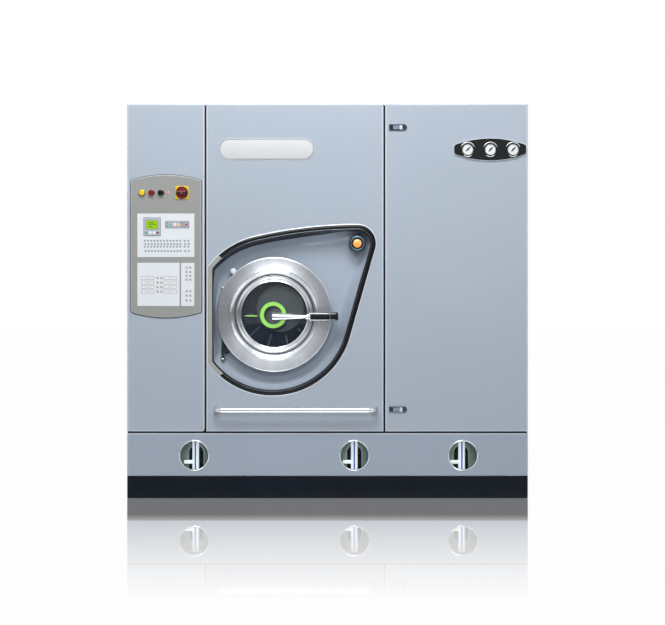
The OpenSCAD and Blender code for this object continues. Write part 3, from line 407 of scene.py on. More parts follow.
def surfaced(name, group, values, colour, metal, shader):
    """A material whose colour, roughness and normal come from a shared effect with its own
    values, and whose other sockets are set directly. colour is a 0 to 255 screen colour."""
    material, t, bsdf = new_material(name)
    effect_node = t.node("ShaderNodeGroup", node_tree=group)
    for key, value in {"Colour": linear(colour), **values}.items():
        effect_node.inputs[key].default_value = value
    for key, socket in (("Colour", "Base Color"), ("Roughness", "Roughness"),
                        ("Normal", "Normal")):
        t.link(effect_node.outputs[key], bsdf.inputs[socket])
    bsdf.inputs["Metallic"].default_value = metal
    for key, value in shader.items():
        bsdf.inputs[key.replace("_", " ").title().replace("Ior", "IOR")].default_value = value
    material.diffuse_color = linear(colour)
    return material


def finish(name, colour, rough=0.4, metal=0.0, drift=0.06, streaks=0.06, grain=420.0, depth=0.03,
           **shader):
    """A painted, coated or moulded surface."""
    values = {"Roughness": rough, "Drift": drift, "Streaks": streaks, "Grain Scale": grain,
              "Grain Depth": depth}
    return surfaced(name, WORN, values, colour, metal, shader)


def brushed(name, colour, rough, metal=1.0, streaks=0.06, depth=0.03, **shader):
    """A drawn, cast or polished metal."""
    values = {"Roughness": rough, "Lines": streaks, "Depth": depth}
    return surfaced(name, BRUSHED, values, colour, metal, shader)


def clear(name, colour, ior, tint=None):
    """Glass: a clear shader with a very fine change of roughness over it. Light that lights
    the pieces behind it goes straight through, with a tint."""
    material, t, bsdf = new_material(name)
    t.link(t.remap(t.noise(t.place(), 14.0, 3.0), 0.4, 0.8, 0.0, 0.03), bsdf.inputs["Roughness"])
    bsdf.inputs["Base Color"].default_value = linear(colour)
    bsdf.inputs["IOR"].default_value = ior
    bsdf.inputs["Transmission Weight"].default_value = 1.0
    path = t.node("ShaderNodeLightPath").outputs
    through = t.math("MAXIMUM", path["Is Shadow Ray"], path["Is Diffuse Ray"])
    pass_on = t.node("ShaderNodeBsdfTransparent", {"Color": linear(tint or colour)})
    blend = t.node("ShaderNodeMixShader", {0: through, 1: bsdf.outputs[0],
                                           2: pass_on.outputs[0]})
    t.link(blend.outputs[0], material.node_tree.nodes["Material Output"].inputs[0])
    material.diffuse_color = linear(colour)
    return material


def glow(name, colour, strength, **shader):
    """A lit display or lamp, or a painted glow on a part that holds no lamp: a coloured face with
    a little light of its own.
    """
    material = finish(name, colour, rough=0.25, drift=0.15, grain=900.0, depth=0.01, **shader)
    bsdf = opened(material)[1]
    bsdf.inputs["Emission Color"].default_value = linear(colour)
    bsdf.inputs["Emission Strength"].default_value = strength
    return material


def dress_node(node, material):
    """A CAD node that keeps its own shape gets this material in all its slots."""
    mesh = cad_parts[node].data
    if not mesh.materials:
        mesh.materials.append(material)
    for i in range(len(mesh.materials)):
        mesh.materials[i] = material


# ---- Settings ----

class MachineSizes(bpy.types.PropertyGroup):
    """Sizes of the visible skins, in metres."""
    panel_edge: FloatProperty(
        name="Panel Edge", description="Radius of the folded edges round the front panels",
        default=0.006, min=0.001, max=0.012, unit="LENGTH")
    trim_edge: FloatProperty(
        name="Trim Edge", description="Radius of the dark trim's outer edge",
        default=0.0035, min=0.001, max=0.004, unit="LENGTH")
    badge_width: FloatProperty(
        name="Badge Width", description="Length of the bare badge plate",
        default=0.477, min=0.1, max=0.8, unit="LENGTH")
    badge_height: FloatProperty(
        name="Badge Height", description="Height of the bare badge plate",
        default=0.1025, min=0.05, max=0.2, unit="LENGTH")
    turn_steps: IntProperty(
        name="Turn Steps", description="Steps of a full turn on the large round pieces",
        default=192, min=48, max=360)


def colour_property(name, description, colour):
    return FloatVectorProperty(name=name, description=description, subtype="COLOR_GAMMA", size=3,
                               min=0, max=1, default=tuple(c / 255 for c in colour))


class MachineColours(bpy.types.PropertyGroup):
    """Screen colours of the painted and moulded pieces."""
    paint: colour_property("Paint", "Colour of the cabinet's sheet panels", (178, 189, 203))
    pan: colour_property("Pan", "Colour of the spill pan", (7, 19, 32))
    recess: colour_property("Recess", "Colour of the recess round the door", (176, 188, 203))
    bezel: colour_property("Bezel", "Colour of the control panel's surround", (157, 159, 157))
    lower: colour_property("Lower", "Colour of the lower panel", (166, 178, 194))
    keypad: colour_property("Keypad", "Colour of the keypads", (233, 238, 243))
    trim: colour_property("Trim", "Colour of the dark trim", (24, 27, 29))
    strip: colour_property("Strip", "Colour of the light trim strip", (172, 174, 171))
    screen: colour_property("Screen", "Colour of the display", (140, 190, 20))


def sizes():
    return bpy.context.scene.machine_sizes


def colour(name):
    """One of the panel's colours as 0 to 255 numbers."""
    return tuple(255 * c for c in getattr(bpy.context.scene.machine_colours, name))


def sheet_paint(name, tone):
    """The sprayed paint of the outer sheets."""
    return finish(name, tone, rough=0.36, drift=0.05, streaks=0.07, grain=520, depth=0.035,
                  coat_weight=0.25, coat_roughness=0.18)


def common_finishes():
    """The finishes that several pieces share."""
    sheet_paint("paint", colour("paint"))
    finish("pan_paint", colour("pan"), rough=0.32, drift=0.3, streaks=0.12, grain=480, depth=0.05,
           specular_ior_level=0.2)
    brushed("chrome", (222, 226, 232), rough=0.05, streaks=0.04, depth=0.008)
    brushed("steel", (190, 194, 198), rough=0.2, streaks=0.14, depth=0.05)
    finish("black_moulded", (20, 21, 23), rough=0.3, drift=0.3, grain=700, depth=0.06)
    finish("rubber", (17, 17, 18), rough=0.62, drift=0.3, grain=900, depth=0.08)
    finish("frame_grey", (74, 82, 92), rough=0.5, drift=0.2, grain=400, depth=0.05)
    brushed("galvanised", (160, 166, 170), rough=0.36, metal=0.85, streaks=0.2, depth=0.06)
    # Near-black for the strips behind the panel gaps: painted shade
    finish("dark_seam", (9, 11, 15), rough=0.7, drift=0.2)


class MachineOperator:
    """What the machine's operators share: each builds its pieces once and reports done."""
    bl_options = {"REGISTER", "UNDO"}

    def execute(self, context):
        self.build(context)
        return {"FINISHED"}


# ---- Cabinet skins ----

DROP_R, DROP_C = 402.0, np.array([-275.0, 915.0])
CORNER_R, CORNER_C = 92.5, np.array([149.5, 1274.0])
TOP_ARC_R = 2250.0
CUT_X = CENTRE_X0 + 9
PER_STEP = 4
PAN_DROP = 5.0  # the pan's rim shows this much lower in the photo than the pan's height
# Rings of the folded edge's outer part that take the painted shade
PAINTED_SHADE_RINGS = 4
SHEET = 2.0
HOLE_LIP = 3.0


def toward(angle):
    """The unit vector at an angle in degrees."""
    return np.array([math.cos(math.radians(angle)), math.sin(math.radians(angle))])


def drop_outline(off, cut_off=None):
    """The recess's outline drawn in by off, anticlockwise from the lower left: a large arc, a
    straight flank tangent to it and to the corner's arc, a long top arc tangent to both, and a
    straight left side drawn in by cut_off."""
    cut_off = off if cut_off is None else cut_off
    reach = CORNER_C - DROP_C
    span = np.hypot(*reach)
    bearing = math.degrees(math.atan2(reach[1], reach[0]))
    flank = bearing - math.degrees(math.acos((DROP_R - CORNER_R) / span))
    arm1, arm2 = TOP_ARC_R - DROP_R, TOP_ARC_R - CORNER_R
    lean = bearing - math.degrees(math.acos((arm1**2 + span**2 - arm2**2) / (2 * arm1 * span)))
    top_c = DROP_C + arm1 * toward(lean)
    to_corner = CORNER_C - top_c
    corner_end = math.degrees(math.atan2(to_corner[1], to_corner[0]))
    r = DROP_R - off
    a = math.degrees(math.acos((CUT_X + cut_off - DROP_C[0]) / r))

    def arc(c, radius, a0, a1, n):
        t = np.radians(a0 + (a1 - a0) * np.arange(n * PER_STEP) / (n * PER_STEP))
        return np.stack([c[0] + radius * np.cos(t), c[1] + radius * np.sin(t)], -1)

    def line(p, q, n):
        w = (np.arange(n * PER_STEP) / (n * PER_STEP))[:, None]
        return p + (q - p) * w

    return np.concatenate([
        arc(DROP_C, r, 360 - a, 360 + flank, 26),
        line(DROP_C + r * toward(flank), CORNER_C + (CORNER_R - off) * toward(flank), 6),
        arc(CORNER_C, CORNER_R - off, flank, corner_end, 10),
        arc(top_c, TOP_ARC_R - off, corner_end, lean + 180, 8),
        arc(DROP_C, r, lean + 180, a, 8),
        line(DROP_C + r * toward(a), DROP_C + r * toward(-a), 12)])


def along_rays(outline, centre, angles):
    """Where rays from centre at these angles meet a star-shaped outline: the outline's own
    angle and distance, read off between its points."""
    d = outline - centre
    t = np.unwrap(np.arctan2(d[:, 1], d[:, 0]))
    r = np.hypot(d[:, 0], d[:, 1])
    order = np.argsort(t)
    reach = np.interp(angles, t[order], r[order], period=2 * np.pi)
    return centre + reach[:, None] * np.stack([np.cos(angles), np.sin(angles)], -1)


def panel_outline(x0, x1, z0, z1, corner=2.5):
    """The outline of a sheet panel as a function of how far it is drawn in."""
    radii = np.broadcast_to(np.asarray(corner, float), 4)
    return lambda d: rounded(x0 + d, x1 - d, z0 + d, z1 - d, np.maximum(radii - d, 1.2), 6)


def with_rolled_edge(body, roll, edge_r):
    """Three shapes, one for each finish: the body with the roll along the machine's top, then
    the other edges' outer part, dark as painted shade, and their thin pale line, a painted
    highlight."""
    parts, tops = [], []
    for rows in (roll[:PAINTED_SHADE_RINGS], roll[PAINTED_SHADE_RINGS - 1:]):
        points, faces = rings(rows)
        upper = points[np.array(faces), 2].mean(1) > TOP - edge_r
        parts.append((points, [f for f, high in zip(faces, upper) if not high]))
        tops.append((points, [f for f, high in zip(faces, upper) if high]))
    return [joined(body, *tops), *parts]


def folded_panel(x0, x1, z0, z1, back, edge_r, corner=2.5):
    """A folded sheet: a plate with a rolled front edge whose folds run back to the frame, and
    an inner skin a sheet's thickness inside, so that it is open at the back."""
    outline = panel_outline(x0, x1, z0, z1, corner)
    roll = rolled(outline, FRONT, edge_r, EDGE_STEPS)
    outer = [at_y(outline(0), back), roll[0]]
    inner = [at_y(outline(SHEET), back), at_y(outline(SHEET), FRONT + edge_r),
             at_y(outline(edge_r), FRONT + SHEET)]
    skin = joined(rings(outer), rings([roll[-1], at_y(outline(edge_r + 2), FRONT)], last=True))
    lining = surface(np.stack(inner), wrap_v=True, cap_last=True)
    rim = surface(np.stack([outer[0], inner[0]]), wrap_v=True)
    return with_rolled_edge(joined(skin, lining, rim), roll, edge_r)


def pierced_panel(x0, x1, z0, z1, back, edge_r, holes, columns=()):
    """A folded sheet with round or shaped holes: its face is cut in upright strips at columns,
    one for each hole, and in a strip with a hole every ray from the hole's centre gives one
    point on the hole's edge and one on the strip's border."""
    outline = panel_outline(x0, x1, z0, z1)
    roll = rolled(outline, FRONT, edge_r, EDGE_STEPS)
    d = edge_r + 1.5
    inside = at_y(rounded(x0 + d, x1 - d, z0 + d, z1 - d, 0.01, 6), FRONT)
    shapes = [rings([at_y(outline(0), back), roll[0]]), rings([roll[-1], inside])]
    borders = [x0 + d, *columns, x1 - d]
    for left, right, (centre, hole) in zip(borders[:-1], borders[1:], holes):
        box = rounded(left, right, z0 + d, z1 - d, 0.01, 2, edge=60)
        angles = np.arctan2(*(hole - centre).T[::-1])
        box = along_rays(box, np.array(centre), angles)
        for cx, cz in ((left, z0 + d), (right, z0 + d), (right, z1 - d), (left, z1 - d)):
            box[np.argmin(np.hypot(*(box - (cx, cz)).T))] = (cx, cz)
        lips = [at_y(box, FRONT), at_y(hole, FRONT), at_y(hole, FRONT + HOLE_LIP)]
        shapes.append(rings(lips))
    return with_rolled_edge(joined(*shapes), roll, edge_r)


def circle(cx, cz, r):
    t = spin(96)
    return np.stack([cx + r * np.cos(t), cz + r * np.sin(t)], -1)


class MACHINE_OT_cabinet(MachineOperator, bpy.types.Operator):
    """Spill pan, front sheets with rolled edges, and the side, back and top sheets"""
    bl_idname = "machine.cabinet"
    bl_label = "Cabinet Skins"

    def build(self, context):
        edge = sizes().panel_edge * 1000
        # Painted shade on the folded edges' outer part, and a painted highlight on their thin pale
        # line
        shade = finish("paint_shade", (60, 66, 76), rough=0.5, drift=0.1)
        bright = finish("paint_edge", (228, 236, 246), rough=0.3, drift=0.05, coat_weight=0.25,
                        coat_roughness=0.18)
        upper = [FINISHES["paint"], shade, bright]
        lower = [sheet_paint("lower_paint", colour("lower")), shade,
                 finish("lower_edge", (208, 218, 230), rough=0.3, drift=0.05)]
        back, fold = FRAME_Y - 0.5, FRONT + 22
        mesh_piece("control_door_skin",
                   folded_panel(-HALF_W, CONTROL_X1, UPPER_Z, TOP, fold, edge, (14, 3, 3, 3)),
                   upper, "control_column", ["control_door"])
        mesh_piece("service_door_skin",
                   folded_panel(SERVICE_X0, HALF_W, UPPER_Z, TOP, fold, edge),
                   upper, "service_cover", ["service_door"])
        hole = ((DOOR[0], 1000.0), drop_outline(8))
        mesh_piece("front_panel_skin",
                   pierced_panel(CENTRE_X0, CENTRE_X1, UPPER_Z, TOP, back, edge, [hole]),
                   upper, "cabinet", ["front_panel"])
        holes = [((x, WINDOW_Z), circle(x, WINDOW_Z, WINDOW_R)) for x in WINDOW_XS]
        between = (-266.0, 406.0)
        mesh_piece("lower_panel_skin",
                   pierced_panel(-HALF_W, HALF_W, PAN_H - PAN_DROP, LOWER_TOP, back, edge * 0.8,
                                 holes, between),
                   lower, "cabinet", ["lower_panel"])
        self.pan()
        self.seams()
        for node, material in (("side_panels", "paint"), ("back_panel", "paint"),
                               ("top_panel", "paint"), ("frame_posts", "frame_grey"),
                               ("frame_rails", "frame_grey"), ("panel_hinges", "steel")):
            dress_node(node, FINISHES[material])

    def pan(self):
        """The pan's wall follows a rounded rectangle; its profile runs up outside, over the
        rolled rim, down inside and across the floor."""
        low, high = node_box("spill_pan")

        def ring(d, z):
            o = rounded(low[0] + d, high[0] - d, low[1] + d, high[1] - d, max(10 - d, 1), 8)
            return np.stack([o[:, 0], o[:, 1], np.full(len(o), z)], -1)

        foot, rim = low[2], high[2] - PAN_DROP
        rows = [ring(3, foot), ring(0.6, foot + 1), ring(0, foot + 4), ring(0, rim - 2.5),
                ring(0.4, rim - 0.8), ring(1, rim), ring(2, rim), ring(2, foot + 4)]
        shape = surface(np.stack(rows), wrap_v=True, cap_first=True, cap_last=True)
        mesh_piece("spill_pan_skin", shape, FINISHES["pan_paint"], "cabinet",
                   ["spill_pan"])

    def seams(self):
        """Near-black strips on the frame behind the gaps between the panels: painted shade that
        keeps the gaps dark.
        """
        strips = [brick(x0, x1, FRAME_Y - 8, FRAME_Y, UPPER_Z + 2, TOP - 5)
                  for x0, x1 in ((CONTROL_X1 - 4, CENTRE_X0 - 1), (CENTRE_X1 + 1, SERVICE_X0 + 4))]
        strips.append(brick(3 - HALF_W, HALF_W - 3, FRONT + 5, FRAME_Y, LOWER_TOP + 0.3,
                            UPPER_Z - 0.6, 0.3))
        mesh_piece("seam_strips", joined(*strips), FINISHES["dark_seam"], "cabinet")


# ---- Recess, trim and lamp ----

WALL_R, CUT_WALL_R = 50.0, 4.0
WALL_STEPS = 13
MAX_LEAN = 26.0
MOUTH_R = 226.0


def recess_rows():
    """The recess's shell as rings of the drop outline: down a wall that rounds into the floor by
    off = R (1 - cos a) at depth D sin a, then straight in to the mouth's collar. Away from the
    door and from the lamp's corner the wall also leans in."""
    depth0, depth1 = FRONT + 3.5, FLOOR_Y
    rows = [at_y(drop_outline(d), depth0 - 2.5) for d in (14, 23.5)]
    rim = drop_outline(26)
    from_door = rim - np.array(DOOR)
    away = np.hypot(*from_door.T)
    room = np.hypot(*(rim - CORNER_C).T)
    lean = MAX_LEAN * np.clip((away - 316) / 90, 0, 1) * np.clip((room - 66) / 110, 0.2, 1)
    for a in np.linspace(0, np.pi / 2, WALL_STEPS):
        off, cut_off = 24.5 + WALL_R * (1 - math.cos(a)), 25.5 + CUT_WALL_R * (1 - math.cos(a))
        near = drop_outline(off, cut_off)
        inward = drop_outline(off + 1, cut_off + 1) - near
        rows.append(at_y(near + inward * lean[:, None] * math.sin(a),
                         depth0 + (depth1 - depth0) * math.sin(a)))
    mouth = np.array(DOOR) + MOUTH_R * from_door / away[:, None]
    last = rows[-1][:, [0, 2]]
    rows += [at_y(last + (mouth - last) * w, depth1) for w in (0.3, 0.65, 1.0)]
    return np.stack(rows)


def painted_shade_skirt():
    """A near-black band on the recess's wall below the trim: painted shade that reaches down the
    wall where the wall faces down, less far towards the right, and keeps to the trim's edge
    elsewhere."""
    rows = recess_rows()[2:WALL_STEPS]
    rim = drop_outline(26)
    inward = drop_outline(27) - rim
    down = np.clip(-inward[:, 1] * 1.25 - 0.1, 0, 1)
    down *= 1 - 0.7 * np.clip((rim[:, 0] + 250) / 330, 0, 1)
    near = np.arange(-24, 25)
    down = down[(np.arange(len(down))[:, None] + near) % len(down)].mean(1)
    reach = (len(rows) - 1) * (0.1 + 0.42 * down)
    lift = np.insert(0.9 * inward, 1, -0.6, axis=1)
    out = []
    for w in np.linspace(0, 1, 9):
        place = w * reach
        low = np.minimum(place.astype(int), len(rows) - 2)
        k = (place - low)[:, None]
        pick = np.arange(rows.shape[1])
        ring = rows[low, pick] * (1 - k) + rows[low + 1, pick] * k
        out.append(ring + lift * min(1, (1 - w) * 8 + 0.05))
    return np.stack(out)


def along_drop(profile):
    """A moulding's rings round the recess, from (drawn in, depth) pairs round its section."""
    return [at_y(drop_outline(d), y) for d, y in profile]


class MACHINE_OT_recess(MachineOperator, bpy.types.Operator):
    """The drop-shaped recess, its dark trim with the light strip, and the lamp button"""
    bl_idname = "machine.recess"
    bl_label = "Recess and Trim"

    def build(self, context):
        shell = finish("recess_paint", colour("recess"), rough=0.3, drift=0.06, grain=500,
                       depth=0.02, coat_weight=0.3, coat_roughness=0.1)
        mesh_piece("recess_shell", surface(recess_rows(), wrap_v=True, flip=True), shell,
                   "cabinet", ["recess_dish"], smooth=50)
        self.trim()
        self.lamp()

    def trim(self):
        """Dark trim: a flat band with a rolled outer edge and a stepped inner edge."""
        r = sizes().trim_edge * 1000
        dark = finish("trim_gloss", colour("trim"), rough=0.12, drift=0.3, streaks=0.03,
                      grain=700, depth=0.01, specular_ior_level=0.35)
        black = finish("trim_edge", (16, 18, 21), rough=0.14, drift=0.2, depth=0.01,
                       specular_ior_level=0.3)
        # Painted shade: the trim's near-black laid down the recess's wall where the wall faces
        # down
        mesh_piece("trim_return", surface(painted_shade_skirt(), wrap_v=True, flip=True), black,
                   "cabinet", closed=False)
        front = FRONT - 4
        roll = [(r * (1 - math.cos(a)), front + r * (1 - math.sin(a)))
                for a in np.linspace(0, np.pi / 2, 6)]
        crown = [(4.4 + 14.6 * w, front + 1.4 - 1.6 * (1 - (2 * w - 1) ** 2))
                 for w in np.linspace(0, 1, 13)]
        edge = [(0, FRONT + 0.3)] + roll + [(3.9, front + 0.4), (4.4, front + 1.4)]
        ridge = [(19, front + 1.4), (19.6, front + 0.2), (20.6, front - 0.2), (21.6, front + 0.2),
                 (22, front + 1.2)]
        inner = [(22, front + 1.2), (23.4, front + 1.4), (24.8, front + 2.2), (25.6, front + 3.6),
                 (26, FRONT + 6), (26.6, FRONT + 15), (20, FRONT + 15), (0, FRONT + 0.3)]
        line = brushed("trim_line", (96, 102, 112), rough=0.2, metal=0.8, streaks=0.1)
        mesh_piece("trim_band",
                   [rings(along_drop(part)) for part in (edge, crown, ridge, inner)],
                   [black, dark, line, black], "cabinet", ["recess_trim"])
        # A pale bead along the trim's outer edge: a painted highlight on the edge
        bright = brushed("trim_lip", (234, 239, 246), rough=0.28, metal=0.3, streaks=0.06,
                         depth=0.01)
        lip = [(-4.4, FRONT + 0.2), (-3.9, FRONT - 1.3), (-1.8, FRONT - 2.3), (0.2, FRONT - 1.7),
               (0.6, FRONT + 0.2)]
        mesh_piece("trim_lip", surface(np.stack(along_drop(lip)), wrap_u=True, wrap_v=True,
                                       flip=True), bright, "cabinet")
        self.strip(front)

    def strip(self, front):
        """The light strip lies on the trim's straight side and both bends beside it. It is the
        same moulding, cut to the outline's points between its two mitred ends."""
        pale = finish("trim_strip", colour("strip"), rough=0.28, drift=0.08, grain=600,
                      depth=0.03, coat_weight=0.3, coat_roughness=0.12)
        full = drop_outline(13)
        zone = (full[:, 0] < CUT_X + 76) & (full[:, 1] > 575) & (full[:, 1] < 1206)
        start = int(np.argmax(zone & ~np.roll(zone, 1)))
        count = int(zone.sum())
        pick = (start + np.arange(count)) % len(full)
        profile = [(-0.2, FRONT), (-0.2, front + 1.2), (0.8, front - 0.1), (3, front - 0.5),
                   (12, front - 0.7), (19, front - 0.5), (21.6, front), (22, front + 1.6)]
        rows = np.stack([at_y(drop_outline(d)[pick], y) for d, y in profile])
        mesh_piece("trim_light_strip", surface(rows, flip=True), pale, "cabinet")

    def lamp(self):
        """The lamp button in its round housing: a domed lens in a stepped ring."""
        c = tuple(CORNER_C)
        low = FRONT + 8
        ring = turned([(23.2, low + 12), (30.2, low + 10), (31, low + 1), (37, low),
                       (40, low + 0.6), (41.4, low + 3), (41.4, FLOOR_Y + 14),
                       (23.2, FLOOR_Y + 14)], c)
        mesh_piece("lamp_ring", ring, FINISHES["black_moulded"], "cabinet",
                   ["lamp_housing"])
        lens = [(21.6 * math.cos(a), low + 6 - 9 * math.sin(a))
                for a in np.linspace(0, np.pi / 2, 12)[:-1]]
        cap = turned_solid([(0, low - 3), *lens[::-1], (21.6, low + 50), (0, low + 50)], c,
                           steps=96)
        amber = glow("lamp_lens", (250, 160, 62), 0.42, coat_weight=1.0, coat_roughness=0.12)
        t, bsdf = opened(amber)
        # The lens's glow runs from deep amber at the bottom to pale at the top: a painted
        # highlight on the dome's top
        up = t.remap(t.part(t.place(), "Z"), (c[1] - 16) / 1000, (c[1] + 18) / 1000)
        lit = t.mix(up, linear((236, 128, 36)), linear((255, 226, 170)))
        t.link(lit, bsdf.inputs["Emission Color"])
        bezel = turned([(30.4, 2), (30.8, -0.8), (32, -2), (34.4, -2.4), (36.4, -1.6), (37, 0.2),
                        (36, 2)], c, base=low)
        mesh_piece("lamp_bezel", bezel, brushed("lamp_blue_steel", (120, 170, 200), rough=0.14,
                                                metal=0.9, streaks=0.08), "cabinet")
        mesh_piece("lamp_cap", cap, amber, "lamp_push", ["lamp_button"])


# ---- Loading door, lever and drum ----

def spun(name, tone, rough, share):
    """Metal turned in a lathe: fine rings round the door's axis stretch its highlights across
    them. Broad fan-shaped bands of lighter and darker colour follow the angle round the door:
    a painted reflection, standing in for what a pressed and polished ring reflects."""
    material = brushed(name, tone, rough, depth=0.0)
    t, bsdf = opened(material)
    bsdf.inputs["Anisotropic"].default_value = 0.6
    bsdf.inputs["Anisotropic Rotation"].default_value = 0.25
    tangent = t.node("ShaderNodeTangent", direction_type="RADIAL", axis="Y")
    t.link(tangent.outputs[0], bsdf.inputs["Tangent"])
    coords = t.node("ShaderNodeTexCoord").outputs["Object"]
    centred = t.vector("SUBTRACT", coords, (DOOR[0] / 1000, 0, DOOR[1] / 1000))
    flat = t.vector("MULTIPLY", centred, (1, 0, 1))
    ray = t.node("ShaderNodeVectorMath", {0: flat}, operation="NORMALIZE").outputs[0]
    radius = t.node("ShaderNodeVectorMath", {0: flat}, operation="LENGTH").outputs["Value"]
    # Painted reflection: the base colour brightens and darkens in broad bands round the door's
    # axis
    painted_reflection_fans = t.noise(ray, 2.1, 5.0, 0.55)
    turns = t.node("ShaderNodeTexNoise", {"W": radius, "Scale": 900.0, "Detail": 2.0},
                   noise_dimensions="1D").outputs["Fac"]
    level = t.math("MULTIPLY_ADD", t.remap(painted_reflection_fans, 0.34, 0.62), share, 1.0 - share)
    level = t.math("MULTIPLY", level, t.math("MULTIPLY_ADD", turns, 0.1, 0.95))
    base = bsdf.inputs["Base Color"].links[0].from_socket
    t.link(t.vector("SCALE", base, level), bsdf.inputs["Base Color"])
    return material


class MACHINE_OT_door(MachineOperator, bpy.types.Operator):
    """The loading door: pressed ring, dark glass, seals, and its hinge"""
    bl_idname = "machine.door"
    bl_label = "Loading Door"

    def build(self, context):
        steps = sizes().turn_steps
        y = RING_Y
        cast = spun("ring_satin", (232, 237, 245), 0.3, 0.2)
        polished = spun("ring_bright", (240, 245, 252), 0.16, 0.24)
        flange = [(288, y + 25), (288, y + 4), (287.2, y + 1.4), (285, y), (281, y - 0.4),
                  (234, y - 1.4), (232, y - 2.2), (230.4, y - 4.4), (228.6, y - 5.6),
                  (226.2, y - 5.8), (224.4, y - 5.0)]
        dish = [(224.4, y - 5.0), (223.2, y - 2.0)]
        dish += [(222.6 - 22.6 * w, y - 1.0 + 10.5 * math.sin(w * np.pi / 2))
                 for w in np.linspace(0, 1, 9)]
        step = [(200, y + 9.5), (198.6, y + 11.4), (196.8, y + 11.6), (195.8, y + 9.4)]
        inner = [(195.8, y + 9.4), (195.2, y + 4.6), (193.6, y + 2.4), (191, y + 1.8),
                 (188.4, y + 2.2)]
        inner += [(187 - 14 * w, y + 2.8 + 5.6 * w ** 0.6) for w in np.linspace(0, 1, 7)]
        inner += [(171.6, y + 7.6), (170, y + 5.2), (168.2, y + 4.4), (166.4, y + 5.4),
                  (165.4, y + 9.6)]
        back = [(165.4, y + 9.6), (172, y + 10), (172, y + 25), (234, y + 25), (240, y + 4.4),
                (274, y + 4.4), (278, y + 25), (288, y + 25)]
        # The narrow step in the ring is coloured dark: painted shade in the groove
        groove = brushed("ring_groove", (52, 56, 60), rough=0.3, metal=0.6, streaks=0.1)
        shapes = [turned(p, DOOR, steps=steps, close=False)
                  for p in (flange, dish, step, inner, back)]
        mesh_piece("door_ring_pressed", shapes, [cast, polished, groove, polished, cast],
                   "loading_door", ["door_ring"], smooth=28)
        self.glass(steps)
        self.hinge()

    def glass(self, steps):
        """A slightly domed pane: depth front + s (r / R)^2 on both faces."""
        f = GLASS_FRONT
        pane_r, dome_h = 171.6, 1.6
        r = np.linspace(0, pane_r, 14)
        rise = dome_h * (r / pane_r) ** 2
        face = [(a, f + 0.1 + b) for a, b in zip(r, rise)]
        rear = [(a, f + 6.2 + b) for a, b in zip(r, rise)][::-1]
        pane = turned_solid(face + rear, DOOR, steps=steps)
        glass = clear("door_glass_dark", (182, 189, 196), ior=1.5, tint=(235, 238, 242))
        mesh_piece("door_pane", pane, glass, "loading_door", ["door_glass"])
        y = RING_Y
        lip = turned([(164.6, 6), (163, 6.6), (162, 7.4), (162.4, 9.4), (165.4, 9.4)], DOOR,
                     steps=steps, base=y)
        mesh_piece("glass_gasket", lip, FINISHES["rubber"], "loading_door")
        dress_node("door_seal", FINISHES["rubber"])
        self.sticker(f)

    def sticker(self, f):
        """A plain round sticker: a ring with a bar beside it."""
        c = (-273.0, 914.0)
        green = finish("sticker_green", (140, 205, 92), rough=0.4, drift=0.1)
        ring = turned([(47, -0.9), (66, -0.9), (66, -0.2), (47, -0.2)], c, steps=96, base=f)
        bar = brick(-412, -352, f - 0.9, f - 0.2, 907, 913, 0.3)
        mesh_piece("glass_sticker", joined(ring, bar), green, "loading_door")

    def hinge(self):
        """Nuts on the hinge rod, dark finishes on the bracket and the arms, and a round white cap
        on a post above the hinge.
        """
        steel = FINISHES["steel"]
        rod = (-527.0, -668.0)
        for z, name in ((1051, "top"), (693, "low")):
            hexagon = turned_solid([(0, -8), (11, -8), (12, -6.6), (12, 0.6), (11, 2), (0, 2)],
                                   rod, "z", steps=6, base=z)
            mesh_piece(f"rod_nut_{name}", hexagon, steel, "cabinet",
                       smooth=20)
        dress_node("door_hinge_bracket", brushed("bracket_dark", (60, 68, 78), rough=0.35,
                                                 metal=0.6, streaks=0.2))
        dress_node("door_hinge_arms", brushed("hinge_dark", (58, 63, 70), rough=0.35, metal=0.7,
                                              streaks=0.2))
        cx, cz = -476.0, 1134.0
        cap = turned_solid([(0, -676), (9, -675.4), (13.6, -672.6), (15.6, -668), (15.6, -652),
                            (14, -650), (0, -650)], (cx, cz), steps=40)
        post = brick(cx - 11, cx + 9, -651, FLOOR_Y + 2, cz - 34, cz + 9, 3)
        mesh_piece("door_buffer", [cap, post],
                   [finish("buffer_white", (232, 236, 240), rough=0.35, drift=0.1),
                    FINISHES["bracket_dark"]], "cabinet")


def stations(*pairs, steps=6):
    """A smooth run of (place, radius) pairs: cosine easing between the given ones."""
    out = []
    for (s0, r0), (s1, r1) in zip(pairs[:-1], pairs[1:]):
        w = np.arange(steps) / steps
        e = (1 - np.cos(np.pi * w)) / 2
        out += list(zip(s0 + (s1 - s0) * w, r0 + (r1 - r0) * e))
    out.append(pairs[-1])
    return out


